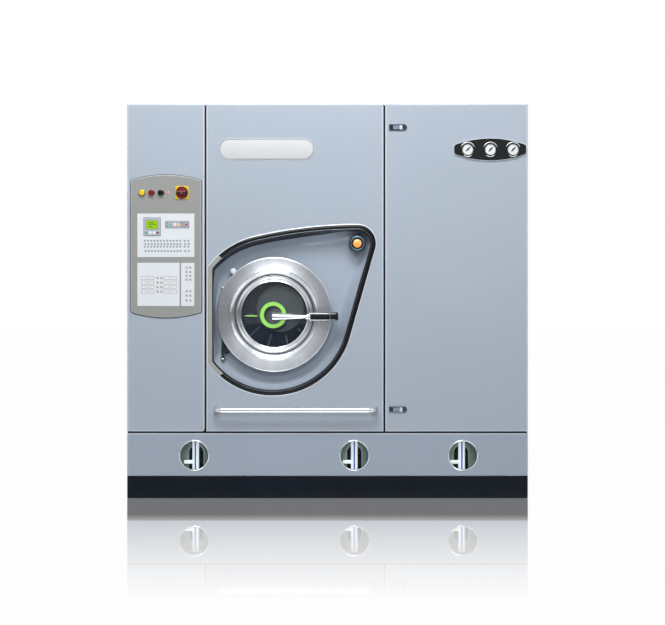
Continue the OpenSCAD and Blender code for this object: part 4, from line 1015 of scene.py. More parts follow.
class MACHINE_OT_lever(MachineOperator, bpy.types.Operator):
    """The door's lever: flared bright end, tapering shank, collar, black grip and pivot"""
    bl_idname = "machine.lever"
    bl_label = "Door Lever"

    def build(self, context):
        px, py, pz = 27.5, -755.0, 908.0
        chrome = FINISHES["chrome"]
        run = stations((136, 7.6), (160, 9.4), (236, 15.2), (294, 17.0))
        run += [(300, 17.1), (302.6, 16.6), (304, 15.0), (304.4, 12.5)]
        shank = turned_solid([(0, px - 136)] + [(r, px - s) for s, r in run]
                             + [(0, px - 304.4)], (py, pz), "x")
        collar = turned_solid([(0, -114), (12.2, -114), (13.4, -116), (13.4, -119),
                               (12.6, -120.5), (13.4, -122), (13.4, -134), (12, -136.5),
                               (8.2, -138), (0, -138)], (py, pz), "x", steps=64, base=px)
        eye = turned_solid([(0, -13), (11.5, -13), (13, -11.5), (13, 11.5), (11.5, 13), (0, 13)],
                           (px, py), "z", steps=48, base=pz)
        bars = [tube([(px - s, py, pz + k) for s in (18.8, 40, 80, 118)], 2.3, steps=16)
                for k in (-14.8, 14.8)]
        mesh_piece("lever_shank", [shank, collar, eye, joined(*bars)],
                   [chrome, chrome, FINISHES["black_moulded"], chrome],
                   "door_lever", ["door_handle"])
        start, end = 17.8, 112.6
        skin = []
        for s in np.arange(start, end, 0.8):
            edge = min(s - start, end - s)
            groove = 0.35 if int(s * 1.25) % 5 == 0 and 12 < edge else 0
            skin.append((12.9 - 1.6 * max(0, 1 - edge / 4) ** 2 - groove, px - s))
        grip = turned_solid([(0, px - 17.6)] + skin + [(0, px - 113)], (py, pz), "x")
        mesh_piece("lever_grip", grip, finish("grip_black", (10, 11, 11), rough=0.55, drift=0.3,
                                              grain=900, depth=0.05, specular_ior_level=0.25),
                   "door_lever", ["handle_grip"])
        self.pivot(px, py, pz)

    def pivot(self, px, py, pz):
        """The pivot block: a foot on the ring and two cheeks with the pin's round ends."""
        foot = brick(px - 44, px + 25, RING_Y - 6, RING_Y, pz - 20, pz + 20, 2.2)
        cheeks = [brick(px - 13, px + 14, py - 10, RING_Y - 5.6, z - 1.2, z + 1.2, 0.8)
                  for z in (pz - 15.2, pz + 15.2)]
        stop = brick(px + 2, px + 26, py - 12.6, RING_Y - 5.6, pz - 12.8, pz + 12.8, 2.6)
        mesh_piece("pivot_block", [joined(*cheeks), joined(foot, stop)],
                   [FINISHES["steel"], FINISHES["grip_black"]],
                   "loading_door", ["handle_mount"])
        pin = turned_solid([(0, -22.5), (4, -22.5), (5, -21.5), (5, -17), (4.4, -16.8),
                            (4.4, 16.8), (5, 17), (5, 21.5), (4, 22.5), (0, 22.5)], (px - 15, py),
                           "z", steps=32, base=pz)
        screws = [turned_solid([(0, -6.2), (4.6, -6.2), (4.6, -8.2), (3.6, -9), (0, -9)],
                               (px - 34, pz + d), steps=24, base=RING_Y) for d in (-14, 14)]
        mesh_piece("pivot_pin", joined(pin, *screws), FINISHES["steel"], "loading_door")


class MACHINE_OT_drum(MachineOperator, bpy.types.Operator):
    """The drum seen through the glass: pierced sheet, pressed ribs and the hub's cover"""
    bl_idname = "machine.drum"
    bl_label = "Drum and Casing"

    def build(self, context):
        pierced = brushed("drum_sheet", (84, 97, 116), rough=0.32, metal=0.7, streaks=0.15,
                          depth=0.04)
        self.holes(pierced)
        dress_node("drum", pierced)
        sheet = brushed("casing_sheet", (122, 132, 142), rough=0.42, metal=0.7, streaks=0.2)
        dress_node("casing", sheet)
        dress_node("casing_mouth", sheet)
        back = node_box("drum")[1][1] - 4
        spokes = []
        for a in range(12, 372, 30):
            t = math.radians(a)
            path = [(DOOR[0] + math.cos(t) * (150 + 240 * k), back - 4.5,
                     DOOR[1] + math.sin(t) * (150 + 240 * k)) for k in np.linspace(0, 1, 8)]
            spokes.append(tube(path, 4.4, steps=10))
        disc = turned_solid([(0, -16), (96, -16), (112, -14.5), (124, -10), (132, -3),
                             (132, -0.4), (0, -0.4)], DOOR, steps=96, base=back)
        hub = brushed("hub_sheet", (198, 206, 200), rough=0.5, metal=0.2, streaks=0.15)
        rib = brushed("rib_sheet", (190, 200, 212), rough=0.4, metal=0.3, streaks=0.1)
        mesh_piece("drum_hub_cover", disc, hub, "drum_group")
        mesh_piece("drum_back_ribs", joined(*spokes), rib, "drum_group")

    def holes(self, material):
        """Round holes in rows: the sheet turns dark close to the middle of each cell of an even
        cell pattern."""
        t, bsdf = opened(material)
        source = bsdf.inputs["Base Color"].links[0].from_socket
        v = t.node("ShaderNodeTexVoronoi", {"Vector": t.place((60, 60, 60)), "Scale": 1.0,
                                            "Randomness": 0.0})
        hole = t.remap(v.outputs["Distance"], 0.22, 0.26)
        shade = t.mix(hole, linear((14, 16, 19)), source)
        t.link(shade, bsdf.inputs["Base Color"])


# ---- Controls and gauges ----

def arched(x0, x1, z0, z1, bulge):
    """An upright panel whose lower and upper edges swell by bulge (1 - t^2), t running from -1
    to 1 across it; each side is one straight line of points."""
    t = np.linspace(-1, 1, 48)
    x = x0 + (x1 - x0) * (t + 1) / 2
    swell = bulge * (1 - t**2)
    side = np.linspace(0, 1, 14)[1:-1]
    right = np.stack([np.full(len(side), x1), z0 + (z1 - z0) * side], -1)
    left = np.stack([np.full(len(side), x0), z1 + (z0 - z1) * side], -1)
    return np.concatenate([np.stack([x, z0 - swell], -1), right,
                           np.stack([x[::-1], z1 + swell[::-1]], -1), left])


def softened(outline, reach):
    """An outline whose sharp corners give way to curves: the points within reach of a corner
    make room for (1 - t)^2 a + 2 t (1 - t) c + t^2 b between the points on its two sides."""
    d = np.roll(outline, -1, 0) - outline
    heading = np.unwrap(np.arctan2(d[:, 1], d[:, 0]))
    turn = np.abs((heading - np.roll(heading, 1) + np.pi) % (2 * np.pi) - np.pi)
    corners = np.flatnonzero(turn > 0.6)
    away = [np.hypot(*(outline - outline[i]).T) for i in corners]
    keep = np.min(away, axis=0) > reach
    out, t = [], np.linspace(0, 1, 9)[:, None]
    for k, i in enumerate(corners):
        before, after = i, i
        while not keep[before]:
            before = (before - 1) % len(outline)
        while not keep[after]:
            after = (after + 1) % len(outline)
        a, b, c = outline[before], outline[after], outline[i]
        a, b = (c + (p - c) * reach / np.hypot(*(p - c)) for p in (a, b))
        out.append((1 - t) ** 2 * a + 2 * t * (1 - t) * c + t ** 2 * b)
        end = corners[(k + 1) % len(corners)]
        run = (after + np.arange((end - after) % len(outline))) % len(outline)
        out.append(outline[run[keep[run]]])
    return np.concatenate(out)


def raised(outline, back, front):
    """A flat sheet with this outline between two depths."""
    return rings([at_y(outline, back), at_y(outline, front)], first=True, last=True)


def slanted(x, z, w, h, slant, y, lift=0.3):
    """A flat bar whose upper end leans to the left by twice its slant."""
    return raised(np.array([(x - w / 2 + slant, z - h / 2), (x + w / 2 + slant, z - h / 2),
                            (x + w / 2 - slant, z + h / 2), (x - w / 2 - slant, z + h / 2)]),
                  y, y - lift)


def drawn_in(outline, d):
    """An outline moved inwards by d along its normals."""
    return outline - normals_2d(outline) * d


def key(x, z, w, h, y, lift=1.2, r=1.0):
    """A low cushion-shaped key: its outline shrinks as its face rises."""
    rows = [at_y(rounded(x - w / 2 + d, x + w / 2 - d, z - h / 2 + d, z + h / 2 - d,
                         max(r - d * 0.5, 0.3), 4), y - up)
            for d, up in ((0, 0), (0.1, lift * 0.7), (0.45, lift), (1.0, lift * 0.92))]
    return rings(rows, first=True, last=True)


def dome(x, z, r, y, lift, wall):
    """A low round button or lamp on a short wall: depth y - wall - lift cos(a) over radius
    r sin(a)."""
    rows = [(0, y), (r, y), (r, y - wall)]
    rows += [(r * math.sin(a), y - wall - lift * math.cos(a))
             for a in np.linspace(np.pi / 2, 0, 8)]
    return turned_solid(rows, (x, z), steps=32)


class MACHINE_OT_controls(MachineOperator, bpy.types.Operator):
    """The control panel: barrel-shaped surround, keypads, display, lamps, buttons and switch"""
    bl_idname = "machine.controls"
    bl_label = "Controls"

    def build(self, context):
        low, high = node_box("control_bezel")
        self.x0, self.x1 = low[0], high[0]
        self.y = FRONT - PLATE_H
        self.surround()
        self.keypads()
        self.display()
        self.buttons()
        self.switch()

    def surround(self):
        base = softened(arched(self.x0, self.x1, BUTTON_Z - 599, BUTTON_Z + 63, 28), 17)
        grey = finish("bezel_grey", colour("bezel"), rough=0.42, drift=0.05, grain=900,
                      depth=0.05)
        groove = finish("bezel_gasket", (22, 26, 32), rough=0.4, drift=0.1)
        pale = finish("bezel_edge", (204, 208, 210), rough=0.34, drift=0.05)
        gasket = [at_y(base, FRONT), at_y(base, self.y + 4), at_y(drawn_in(base, 2.7), self.y + 4)]
        edge = [gasket[-1]] + [at_y(drawn_in(base, 5.6 - 2.9 * math.cos(a)),
                                    self.y + 2.9 * (1 - math.sin(a)))
                               for a in np.linspace(0, np.pi / 2, 6)]
        face = rings([edge[-1], at_y(drawn_in(base, 7), self.y)], last=True)
        gasket = rings(gasket, first=True)
        edge = rings(edge)
        collars = []
        for x in BUTTON_XS:
            c = (x, BUTTON_Z)
            collars.append(turned([(11.4, self.y + 0.5), (18.2, self.y + 0.5),
                                   (18.2, self.y - 3.4), (17.4, self.y - 4.7), (16, self.y - 5),
                                   (15, self.y - 4.4), (11.4, self.y - 4.2)], c, steps=64))
        mesh_piece("control_surround", [gasket, edge, face, joined(*collars)],
                   [groove, pale, grey, FINISHES["chrome"]],
                   "control_column", ["control_bezel"])

    def keypads(self):
        y = self.y
        white = finish("keypad_white", colour("keypad"), rough=0.33, drift=0.03, grain=1400,
                       depth=0.03)
        panels = [(-949.5, -665, 1205, 1422.5), (-949.5, -739, 960.5, 1176.5),
                  (-731, -665, 960.5, 1176.5)]
        plates = [brick(a, b, y - 2, y, c, d, 0.8) for a, b, c, d in panels]
        keys, warm, teal, red, dark, pale = [], [], [], [], [], []
        columns = np.append(np.linspace(-912, -736, 12), (-713, -695))
        for j, z in enumerate((1287, 1271, 1258, 1236)):
            for i, x in enumerate(columns + 3 * (j % 2)):
                keys.append(key(x, z, 12.5, 10, y - 2, 0.8))
                dark.append(slanted(x, z, 4.6, 8.5, 2.6, y - 2.6))
        for x in (-904, -885, -866, -847.5):
            group = {-904: teal, -847.5: red}.get(x, warm)
            group.append(dome(x, 1327, 6.0 if group is not warm else 7.6, y - 4.8, 1.2, 0.4))
        for z in (1101, 1078, 1055.5, 1033):
            for x, w in ((-897.5, 58), (-786, 60)):
                pale.append(key(x, z, w + 5, 18, y - 2, 0.4))
                warm.append(key(x, z, w, 13, y - 2.2, 0.6))
                keys.append(brick(x - 15, x + 15, y - 3.0, y - 2.6, z - 1.8, z + 1.8, 0.1))
            for x in (-848.5, -829.5):
                keys.append(key(x, z, 13, 13, y - 2, 0.8))
                dark.append(slanted(x, z, 4.2, 9, 3, y - 2.6))
        for x in (-703, -685):
            for z in (1153, 1131, 1112, 1093, 1035, 1013, 989):
                keys.append(key(x, z, 12.5, 12.5, y - 2, 0.8, 1.6))
                dark.append(slanted(x, z, 4.2, 9, 3, y - 2.6))
        grey = finish("key_grey", (206, 212, 220), rough=0.4, drift=0.05, grain=1400)
        tint = finish("label_white", (241, 242, 243), rough=0.4, drift=0.03, grain=1400)
        mark = finish("key_mark", (112, 118, 128), rough=0.5, drift=0.1)
        film = finish("label_outline", (176, 174, 182), rough=0.4, drift=0.04)
        mesh_piece("keypad_panels",
                   [joined(*plates), joined(*keys), joined(*warm), joined(*dark), joined(*pale)],
                   [white, grey, tint, mark, film], "control_column",
                   ["control_keypads"])
        mesh_piece("keypad_colour_keys", [joined(*teal), joined(*red)],
                   [finish("key_teal", (40, 176, 172), rough=0.3, drift=0.1),
                    finish("key_red", (122, 12, 26), rough=0.3, drift=0.1)],
                   "control_column")

    def display(self):
        y = self.y
        grey = finish("display_frame", (186, 190, 204), rough=0.35, drift=0.06, grain=1200)
        line = finish("display_outline", (128, 132, 142), rough=0.4, drift=0.1)
        frame_plate = brick(-916.3, -834.2, y - 5, y - 1.8, 1313.7, 1401.3, 0.8)
        outlines = [brick(-918.5, -832, y - 4.4, y - 1.8, 1311.5, 1403.5, 0.8),
                    brick(-906, -845.5, y - 5.3, y - 4.8, 1344, 1391, 0.2),
                    brick(-810.5, -691, y - 3.4, y - 1.8, 1349.5, 1385.5, 0.8)]
        outlines += [slanted(x, z, 4.2, 12, 3.4, y - 3.9, 0.35)
                     for x in (-800, -728, -717, -694.5) for z in (1360, 1375)]
        lit = glow("display_green", colour("screen"), 0.3)
        screen = brick(-904, -847.5, y - 5.7, y - 4.8, 1346.5, 1388.5, 0.3)
        lines = [brick(-896, -896 + w, y - 5.85, y - 5.6, z, z + 3.0, 0.1)
                 for z, w in ((1377, 30), (1368, 40), (1356, 22))]
        dark = finish("display_ink", (58, 84, 14), rough=0.4, drift=0.1)
        strip = brick(-808.5, -693, y - 4, y - 1.8, 1351.5, 1383.5, 0.8)
        mesh_piece("display_module",
                   [frame_plate, screen, joined(*lines), strip, joined(*outlines)],
                   [grey, lit, dark, finish("strip_grey", (178, 184, 192), rough=0.3,
                                            drift=0.05), line],
                   "control_column")
        for name, x, r, tone in (("teal", -780, 5.6, (50, 196, 186)),
                                 ("pink", -762.5, 8.8, (244, 196, 200)),
                                 ("yellow", -742.5, 6, (240, 196, 50)),
                                 ("magenta", -705, 5.6, (176, 50, 100))):
            mesh_piece(f"lamp_{name}", dome(x, 1367, r, y - 4, 2.2, 0.6),
                       glow(f"lamp_{name}", tone, 0.35), "control_column")
        mesh_piece("lamp_power", dome(-794, BUTTON_Z, 6.4, y, 2.6, 0.8),
                   glow("lamp_rose", (244, 140, 130), 0.35), "control_column")

    def buttons(self):
        """Round caps with a low domed face: the edge rolls over and the middle stands out a
        little.
        """
        back = self.y - 10
        tones = (("yellow", (250, 216, 10)), ("red", (140, 6, 28)), ("black", (12, 13, 16)))
        for x, (name, tone) in zip(BUTTON_XS, tones):
            c = (x, BUTTON_Z)
            cap = turned_solid([(0, back - 8.6), (5, back - 8.4), (9, back - 7.9),
                                (11.6, back - 7.6), (13.2, back - 6.8), (14, back - 5.6),
                                (14.2, back - 4.4), (14.2, back), (11, back + 0.2),
                                (11, FRONT + 21), (0, FRONT + 21)], c, steps=64)
            mat = finish(f"button_{name}_gloss", tone, rough=0.14, drift=0.12, grain=800,
                         depth=0.02, coat_weight=0.4, coat_roughness=0.08)
            mesh_piece(f"{name}_button_cap", cap, mat, f"{name}_push",
                       [f"{name}_button"])

    def switch(self):
        y = self.y
        x, z = -726.0, BUTTON_Z
        yellow = finish("switch_yellow", (248, 200, 34), rough=0.4, drift=0.08, grain=900)
        half = 33.0
        mesh_piece("switch_plate", brick(x - half, x + half, y - 4, y, z - half, z + half, 1.2),
                   yellow, "control_column")
        red = finish("switch_red", (150, 14, 34), rough=0.25, drift=0.12, grain=800,
                     coat_weight=0.3, coat_roughness=0.1)
        grip = finish("switch_bar", (58, 10, 18), rough=0.2, drift=0.12, coat_weight=0.5,
                      coat_roughness=0.08)
        f = y - 4.3
        rim = turned([(23.5, 0), (29, 0), (30, -1), (29.6, -7.6), (28, -9.6), (25.5, -10),
                      (23.5, -9.4)], (x, z), steps=72, base=f)
        knob = turned_solid([(0, 0), (24, 0), (24, -8.4), (22, -8.8), (0, -9.6)], (x, z),
                            steps=72, base=f)
        bar = brick(x - 25.4, x + 25.4, f - 26, f - 8.2, z - 6.8, z + 6.8, 3.2)
        stem = turned_solid([(0, f - 0.5), (4.9, f - 0.5), (4.9, FRONT + 21), (0, FRONT + 21)],
                            (x, z), steps=24)
        dot = brick(x - 2, x + 2, f - 26.3, f - 25.8, z - 5.2, z + 5.2, 0.1)
        mesh_piece("switch_knob_handle", [joined(knob, stem), rim, bar, dot],
                   [red, FINISHES["black_moulded"], grip,
                    finish("mark_rose", (196, 120, 124), rough=0.4)],
                   "switch_knob", ["main_switch"])


class MACHINE_OT_gauges(MachineOperator, bpy.types.Operator):
    """The gauge panel: glossy barrel-shaped plate and three round gauges with plain dials"""
    bl_idname = "machine.gauges"
    bl_label = "Gauges"

    def build(self, context):
        low, high = node_box("gauge_plate")
        y = FRONT - PLATE_H
        base = softened(arched(low[0], high[0], GAUGE_Z - 24, GAUGE_Z + 24, 33.5), 14)
        gloss = finish("gauge_panel_gloss", (12, 14, 18), rough=0.07, drift=0.2, grain=500,
                       depth=0.01, coat_weight=1.0, coat_roughness=0.02)
        pale = finish("gauge_panel_edge", (212, 219, 229), rough=0.34, drift=0.05)
        edge = [at_y(base, FRONT), at_y(base, y + 1.2), at_y(drawn_in(base, 0.6), y + 0.3),
                at_y(drawn_in(base, 2.4), y), at_y(drawn_in(base, 2.8), y + 0.8)]
        panel = rings([edge[-1], at_y(drawn_in(base, 3.6), y), at_y(drawn_in(base, 5), y)],
                      last=True)
        edge = rings(edge, first=True)
        rims, painted_highlight_arcs, dials, marks = [], [], [], []
        for x in GAUGE_XS:
            c = (x, GAUGE_Z)
            rims.append(turned([(26.2, -0.5), (26.2, -5.6), (28.2, -7.0), (31, -7.6),
                                (34.4, -7.9), (36.2, -6.8), (37, -5), (37, -0.5)], c, steps=96,
                               base=y))
            # Pale arcs on each dark bezel, a long one above and a short one below: painted
            # highlights
            for middle, half, r, thick in ((90, 72, 35.6, 2.5), (270, 34, 35.6, 2.2)):
                w = np.linspace(-1, 1, 33)
                a = np.radians(middle + half * w)
                path = np.stack([x + r * np.cos(a), np.full(len(a), y - 7.0),
                                 GAUGE_Z + r * np.sin(a)], -1)
                painted_highlight_arcs.append(tube(path, thick * (1 - np.abs(w) ** 6 * 0.7), steps=16))
            dials.append(turned_solid([(0, -0.2), (27, -0.2), (27, -2.1), (0, -2.1)], c, steps=72,
                                      base=y))
            marks += self.scale(x, y - 2.1)
        white = finish("dial_white", (240, 242, 244), rough=0.35, drift=0.03, grain=900)
        ink = finish("dial_ink", (26, 28, 32), rough=0.5, drift=0.1)
        ring = finish("gauge_ring", (20, 22, 28), rough=0.12, drift=0.2, coat_weight=0.6,
                      coat_roughness=0.05)
        bright = brushed("gauge_bright", (236, 239, 244), rough=0.2, metal=0.6, streaks=0.05,
                         depth=0.01)
        mesh_piece("gauge_panel", [panel, edge, joined(*rims), joined(*painted_highlight_arcs), joined(*dials),
                                   joined(*marks)],
                   [gloss, pale, ring, bright, white, ink], "service_cover",
                   ["gauge_plate"])
        black = finish("needle_black", (10, 11, 14), rough=0.35)
        half = np.array([(-13, -1.2), (-1, -3.2), (9, -2.8), (17, -0.8)])
        hand = np.concatenate([half, half[::-1] * (1, -1)]) @ (np.array([[1, 1], [-1, 1]])
                                                                * math.sqrt(0.5))
        for name, x in zip(("left", "middle", "right"), GAUGE_XS):
            dress_node(f"{name}_needle", black)
            mesh_piece(f"{name}_needle_hand", raised(hand + (x, GAUGE_Z), y - 4.0, y - 5.3),
                       black, f"{name}_pointer")

    def scale(self, x, y):
        """Tick marks round three quarters of the dial: small bars turned about its middle."""
        ticks, c = [], np.array([x, GAUGE_Z])
        for i in range(25):
            r0, w = (21, 0.5) if i % 4 == 0 else (22.5, 0.25)
            u = toward(225 - 270 * i / 24)
            n = np.array([-u[1], u[0]])
            bar = np.stack([c + u * r0 - n * w, c + u * 25 - n * w, c + u * 25 + n * w,
                            c + u * r0 + n * w])
            ticks.append(raised(bar, y + 0.2, y - 0.25))
        return ticks


# ---- Windows, rail, latches and badge ----

class MACHINE_OT_windows(MachineOperator, bpy.types.Operator):
    """The three round windows: bright rims, panes, level tubes, fittings and tank sights"""
    bl_idname = "machine.windows"
    bl_label = "Tank Windows"

    def build(self, context):
        rims, panes, tubes, arms, liquid, lines, metal, sights, frames = ([] for _ in range(9))
        y, level_y = FRONT, FRONT + 70
        for x in WINDOW_XS:
            c = (x, WINDOW_Z)
            rims.append(turned([(69.9, 0.1), (69.9, -1.6), (70.6, -2.7), (72, -3), (74, -2.9),
                                (75.8, -2), (76.8, -0.6), (76.9, 0.1)], c, steps=128, base=y))
            panes.append(turned_solid([(0, 0.3), (71.6, 0.3), (71.6, 2.8), (0, 2.8)], c, steps=96,
                                      base=y))
            tubes.append(turned([(16.8, 106), (16.8, 280), (13.2, 280), (13.2, 106)],
                                (x, level_y), "z", steps=40))
            liquid.append(turned_solid([(0, 107), (12, 107), (12, 236), (0, 236)],
                                       (x, level_y), "z", steps=24))
            lines.append(brick(x - 4, x + 4, level_y - 17.4, level_y - 15, 109, 277, 0.8))
            for z in (112, 272):
                metal.append(turned_solid([(0, -14), (16, -14), (17, -12), (17, 12), (16, 14),
                                           (0, 14)], (x, level_y), "z", steps=6, base=z))
            for z in (125, 266):
                metal.append(turned_solid([(0, level_y + 14), (11.8, level_y + 14),
                                           (11.8, TANK_Y), (0, TANK_Y)], (x, z), steps=32))
            z = WINDOW_Z - 44
            arms.append(turned_solid([(0, -58), (8, -58), (9.5, -56), (9.5, -14), (0, -14)],
                                     (level_y, z), "x", steps=32, base=x))
            metal.append(turned_solid([(0, level_y), (7, level_y), (7, TANK_Y),
                                       (0, TANK_Y)], (x - 48, z), steps=32))
            for grow, thick, group in ((0, 3, sights), (7, 1.5, frames)):
                rows = [at_y(rounded(x - 36 - grow + d, x + 36 + grow - d, 118 - grow + d,
                                     246 + grow - d, (6, 32, 32, 6), 10), TANK_Y - lift)
                        for d, lift in ((0, 0.1), (0, thick - 0.6), (0.6, thick))]
                group.append(rings(rows, first=True, last=True))
            # A black bar on the tank across each window's upper part: painted shade cast by the
            # panel above the window
            sights.append(brick(x - 62, x + 62, TANK_Y - 3, TANK_Y - 0.1, 261, 292, 0.6))
        mesh_piece("window_rim_rings", joined(*rims), FINISHES["chrome"], "cabinet",
                   ["window_rims"])
        mesh_piece("window_panes", joined(*panes), clear("window_glass", (240, 246, 244), 1.15),
                   "cabinet", ["window_glasses"])
        # The level tubes and their liquid glow though they hold no lamp: painted light that
        # brightens them in the shade behind the windows
        pale = glow("level_tube_white", (240, 243, 246), 0.75, coat_weight=0.5,
                    coat_roughness=0.05)
        blue = glow("level_liquid", (92, 106, 216), 0.3)
        mesh_piece("level_tubes", [joined(*tubes, *arms), joined(*metal), joined(*liquid),
                                   joined(*lines)],
                   [pale, FINISHES["steel"], blue, blue], "cabinet",
                   ["level_gauges"])
        mesh_piece("tank_sights", [joined(*frames), joined(*sights)],
                   [brushed("sight_frame", (176, 190, 186), rough=0.35, metal=0.3),
                    finish("sight_black", (5, 6, 8), rough=0.5, drift=0.2,
                           specular_ior_level=0.1)], "cabinet")
        dress_node("solvent_tanks", finish("tank_paint", (168, 182, 178), rough=0.42, drift=0.12,
                                           grain=380, depth=0.05))


class MACHINE_OT_fittings(MachineOperator, bpy.types.Operator):
    """Grab rail, the service door's latches and the bare badge plate"""
    bl_idname = "machine.fittings"
    bl_label = "Rail, Latches and Badge"

    def build(self, context):
        self.rail()
        self.latches()
        self.badge()

    def rail(self):
        """A tube along X with quarter-circle bends back to two round feet."""
        low, high = node_box("grab_rail")
        radius, bend, foot_h, raise_by = 12.5, 35.0, 4.0, 10.0
        z, y = (low[2] + high[2]) / 2 + raise_by, low[1] + radius
        x0, x1 = CENTRE_X0 + 51, CENTRE_X1 - 44
        t = np.linspace(0, np.pi / 2, 15)
        left = [(x0 + bend - bend * math.cos(a), y + bend - bend * math.sin(a)) for a in t]
        right = [(x1 - bend + bend * math.sin(a), y + bend - bend * math.cos(a)) for a in t]
        flat = [(x0, FRONT - foot_h), *left, *right, (x1, FRONT - foot_h)]
        feet = [turned_solid([(0, 0), (14.6, 0), (14.6, -2), (13.8, -3.6), (12, -foot_h),
                              (0, -foot_h)], (x, z), base=FRONT) for x in (x0, x1)]
        mesh_piece("rail_tube", joined(tube([(a, b, z) for a, b in flat], radius, 48), *feet),
                   FINISHES["chrome"], "cabinet", ["grab_rail"])

    def latches(self):
        """Each latch: a bright rim, flat at the left end and round at the right, with a dark
        dish and the paddle that lies in it."""
        x0, w, r = SERVICE_X0 + 20, 89.5, 16.75
        y = FRONT - 6
        dark = brushed("latch_dish", (46, 54, 70), rough=0.16, metal=0.4, streaks=0.08,
                       coat_weight=0.5, coat_roughness=0.08)
        frame_dark = brushed("latch_rim", (104, 112, 124), rough=0.14, metal=0.9, streaks=0.05)
        paddle = brushed("latch_paddle", (150, 163, 180), rough=0.25, metal=0.5, streaks=0.1)
        bright = finish("latch_bright", (228, 231, 238), rough=0.3, metal=0.2)
        for name, zc, body, replaced in (
                ("upper", TOP - 116, "top_paddle", ["latch_housings"]),
                ("lower", UPPER_Z + 112, "bottom_paddle", [])):

            def outline(d):
                return rounded(x0 + d, x0 + w - d, zc - r + d, zc + r - d,
                               (r - d - 0.1, r - d - 0.1, 2.6, 2.6), 12)

            def mouth(d):
                return rounded(x0 + 5.5 + d, x0 + 72 - d, zc - 12 + d, zc + 12 - d, 2.5, 12)

            rows = [at_y(outline(0), FRONT), *rolled(outline, y, 2.2, 6), at_y(outline(4), y),
                    at_y(mouth(-1.2), y), at_y(mouth(-0.3), y + 0.5), at_y(mouth(0), y + 1.4),
                    at_y(mouth(0), FRONT - 0.8)]
            floor = rings([rows[-1], at_y(mouth(3), FRONT - 0.8)], last=True)
            mesh_piece(f"{name}_latch_rim", [rings(rows), floor], [frame_dark, dark],
                       "service_cover", replaced, closed=False)
            dress_node(f"{name}_latch", paddle)
            low, high = node_box(f"{name}_latch")
            # A pale strip at the paddle's right end: a painted highlight
            lip = brick(high[0] - 15, high[0] - 2, low[1] - 0.9, low[1] + 1.2, low[2] + 2,
                        high[2] - 2, 0.5)
            mesh_piece(f"{name}_paddle_lip", lip, bright, body)

    def badge(self):
        """A long plate with half-round ends, left bare: a bright rolled rim round a field of
        pale brushed metal."""
        w, h = sizes().badge_width * 1000, sizes().badge_height * 1000
        cx, cz = -305.0, 1745.2
        x0, x1, z0, z1 = cx - w / 2, cx + w / 2, cz - h / 2, cz + h / 2

        def outline(d):
            return rounded(x0 + d, x1 - d, z0 + d, z1 - d, h / 2 - d - 0.05, 24)

        rim = [at_y(outline(0), FRONT), at_y(outline(0), FRONT - 2.4)]
        rim += [at_y(outline(1.6 - 1.6 * math.cos(a)), FRONT - 2.4 - 2.0 * math.sin(a))
                for a in np.linspace(0.2, np.pi - 0.2, 9)]
        rim.append(at_y(outline(3.2), FRONT - 0.8))
        groove = [rim[-1], at_y(outline(5), FRONT - 0.8)]
        field = [groove[-1], at_y(outline(5.4), FRONT - 1.4), at_y(outline(8), FRONT - 1.6)]
        face = brushed("badge_field", (224, 227, 230), rough=0.36, metal=0.5, streaks=0.12,
                       depth=0.04)
        # A dark ring between rim and field: painted shade in the step inside the rim
        dark = finish("badge_groove", (84, 88, 94), rough=0.4, metal=0.4)
        mesh_piece("name_badge", [rings(rim), rings(groove), rings(field, last=True)],
                   [face, dark, face], "cabinet", closed=False)


# ---- Inner plant, back and stage ----

class MACHINE_OT_plant(MachineOperator, bpy.types.Operator):
    """The drive, air circuit, vessels and pipes behind the panels"""
    bl_idname = "machine.plant"
    bl_label = "Plant"

    def build(self, context):
        zinc = FINISHES["galvanised"]
        blue = finish("motor_blue", (46, 74, 112), rough=0.4, drift=0.15, grain=360, depth=0.08)
        vessel = brushed("vessel_steel", (182, 186, 190), rough=0.28, metal=0.95, streaks=0.18,
                         depth=0.05)
        copper = brushed("pipe_copper", (196, 124, 84), rough=0.3, metal=0.95, streaks=0.15)
        cast = finish("cast_grey", (86, 90, 96), rough=0.55, metal=0.5, drift=0.2, grain=260,
                      depth=0.15)
        box = finish("switchgear_box", (196, 198, 192), rough=0.4, drift=0.08)
        for node, material in (
                ("air_box", zinc), ("fan_housing", zinc), ("fan_rotor", FINISHES["steel"]),
                ("drive_motor", blue), ("fan_motor", blue), ("solvent_pump", blue),
                ("still", vessel), ("solvent_filter", vessel),
                ("compressor", FINISHES["black_moulded"]), ("pipework", copper),
                ("bearing_housing", cast), ("drum_shaft", FINISHES["steel"]),
                ("drum_pulley", cast), ("motor_pulley", cast),
                ("drive_belt", FINISHES["rubber"]), ("electrical_box", box)):
            dress_node(node, material)
        self.back()

    def back(self):
        """Screws round the back sheet, and the louvres pressed into it."""
        places = [(x, z) for z in np.linspace(170, 1910, 8) for x in (-975, 975)]
        places += [(x, z) for x in np.linspace(-700, 700, 5) for z in (150, 1935)]
        screws = [turned_solid([(0, 0.1), (7, 0.1), (6.6, 1.6), (4.6, 2.6), (0, 2.9)], place,
                               steps=16, base=BACK) for place in places]
        mesh_piece("back_screws", joined(*screws), FINISHES["steel"], "cabinet")
        louvres = []
        for x in (-300, 60):
            for z in np.arange(1250, 1660, 45):
                outline = rounded(x - 130, x + 130, z, z + 26, 5, 5)
                hood = [at_y(outline, BACK)]
                top = rounded(x - 126, x + 126, z + 4, z + 20, 4, 5)
                hood.append(np.stack([top[:, 0], BACK + 1 + (z + 24 - top[:, 1]) * 0.35,
                                      top[:, 1]], -1))
                louvres.append(surface(np.stack(hood), wrap_v=True, cap_first=True,
                                       cap_last=True))
        mesh_piece("back_louvres", joined(*louvres), FINISHES["paint"], "cabinet")


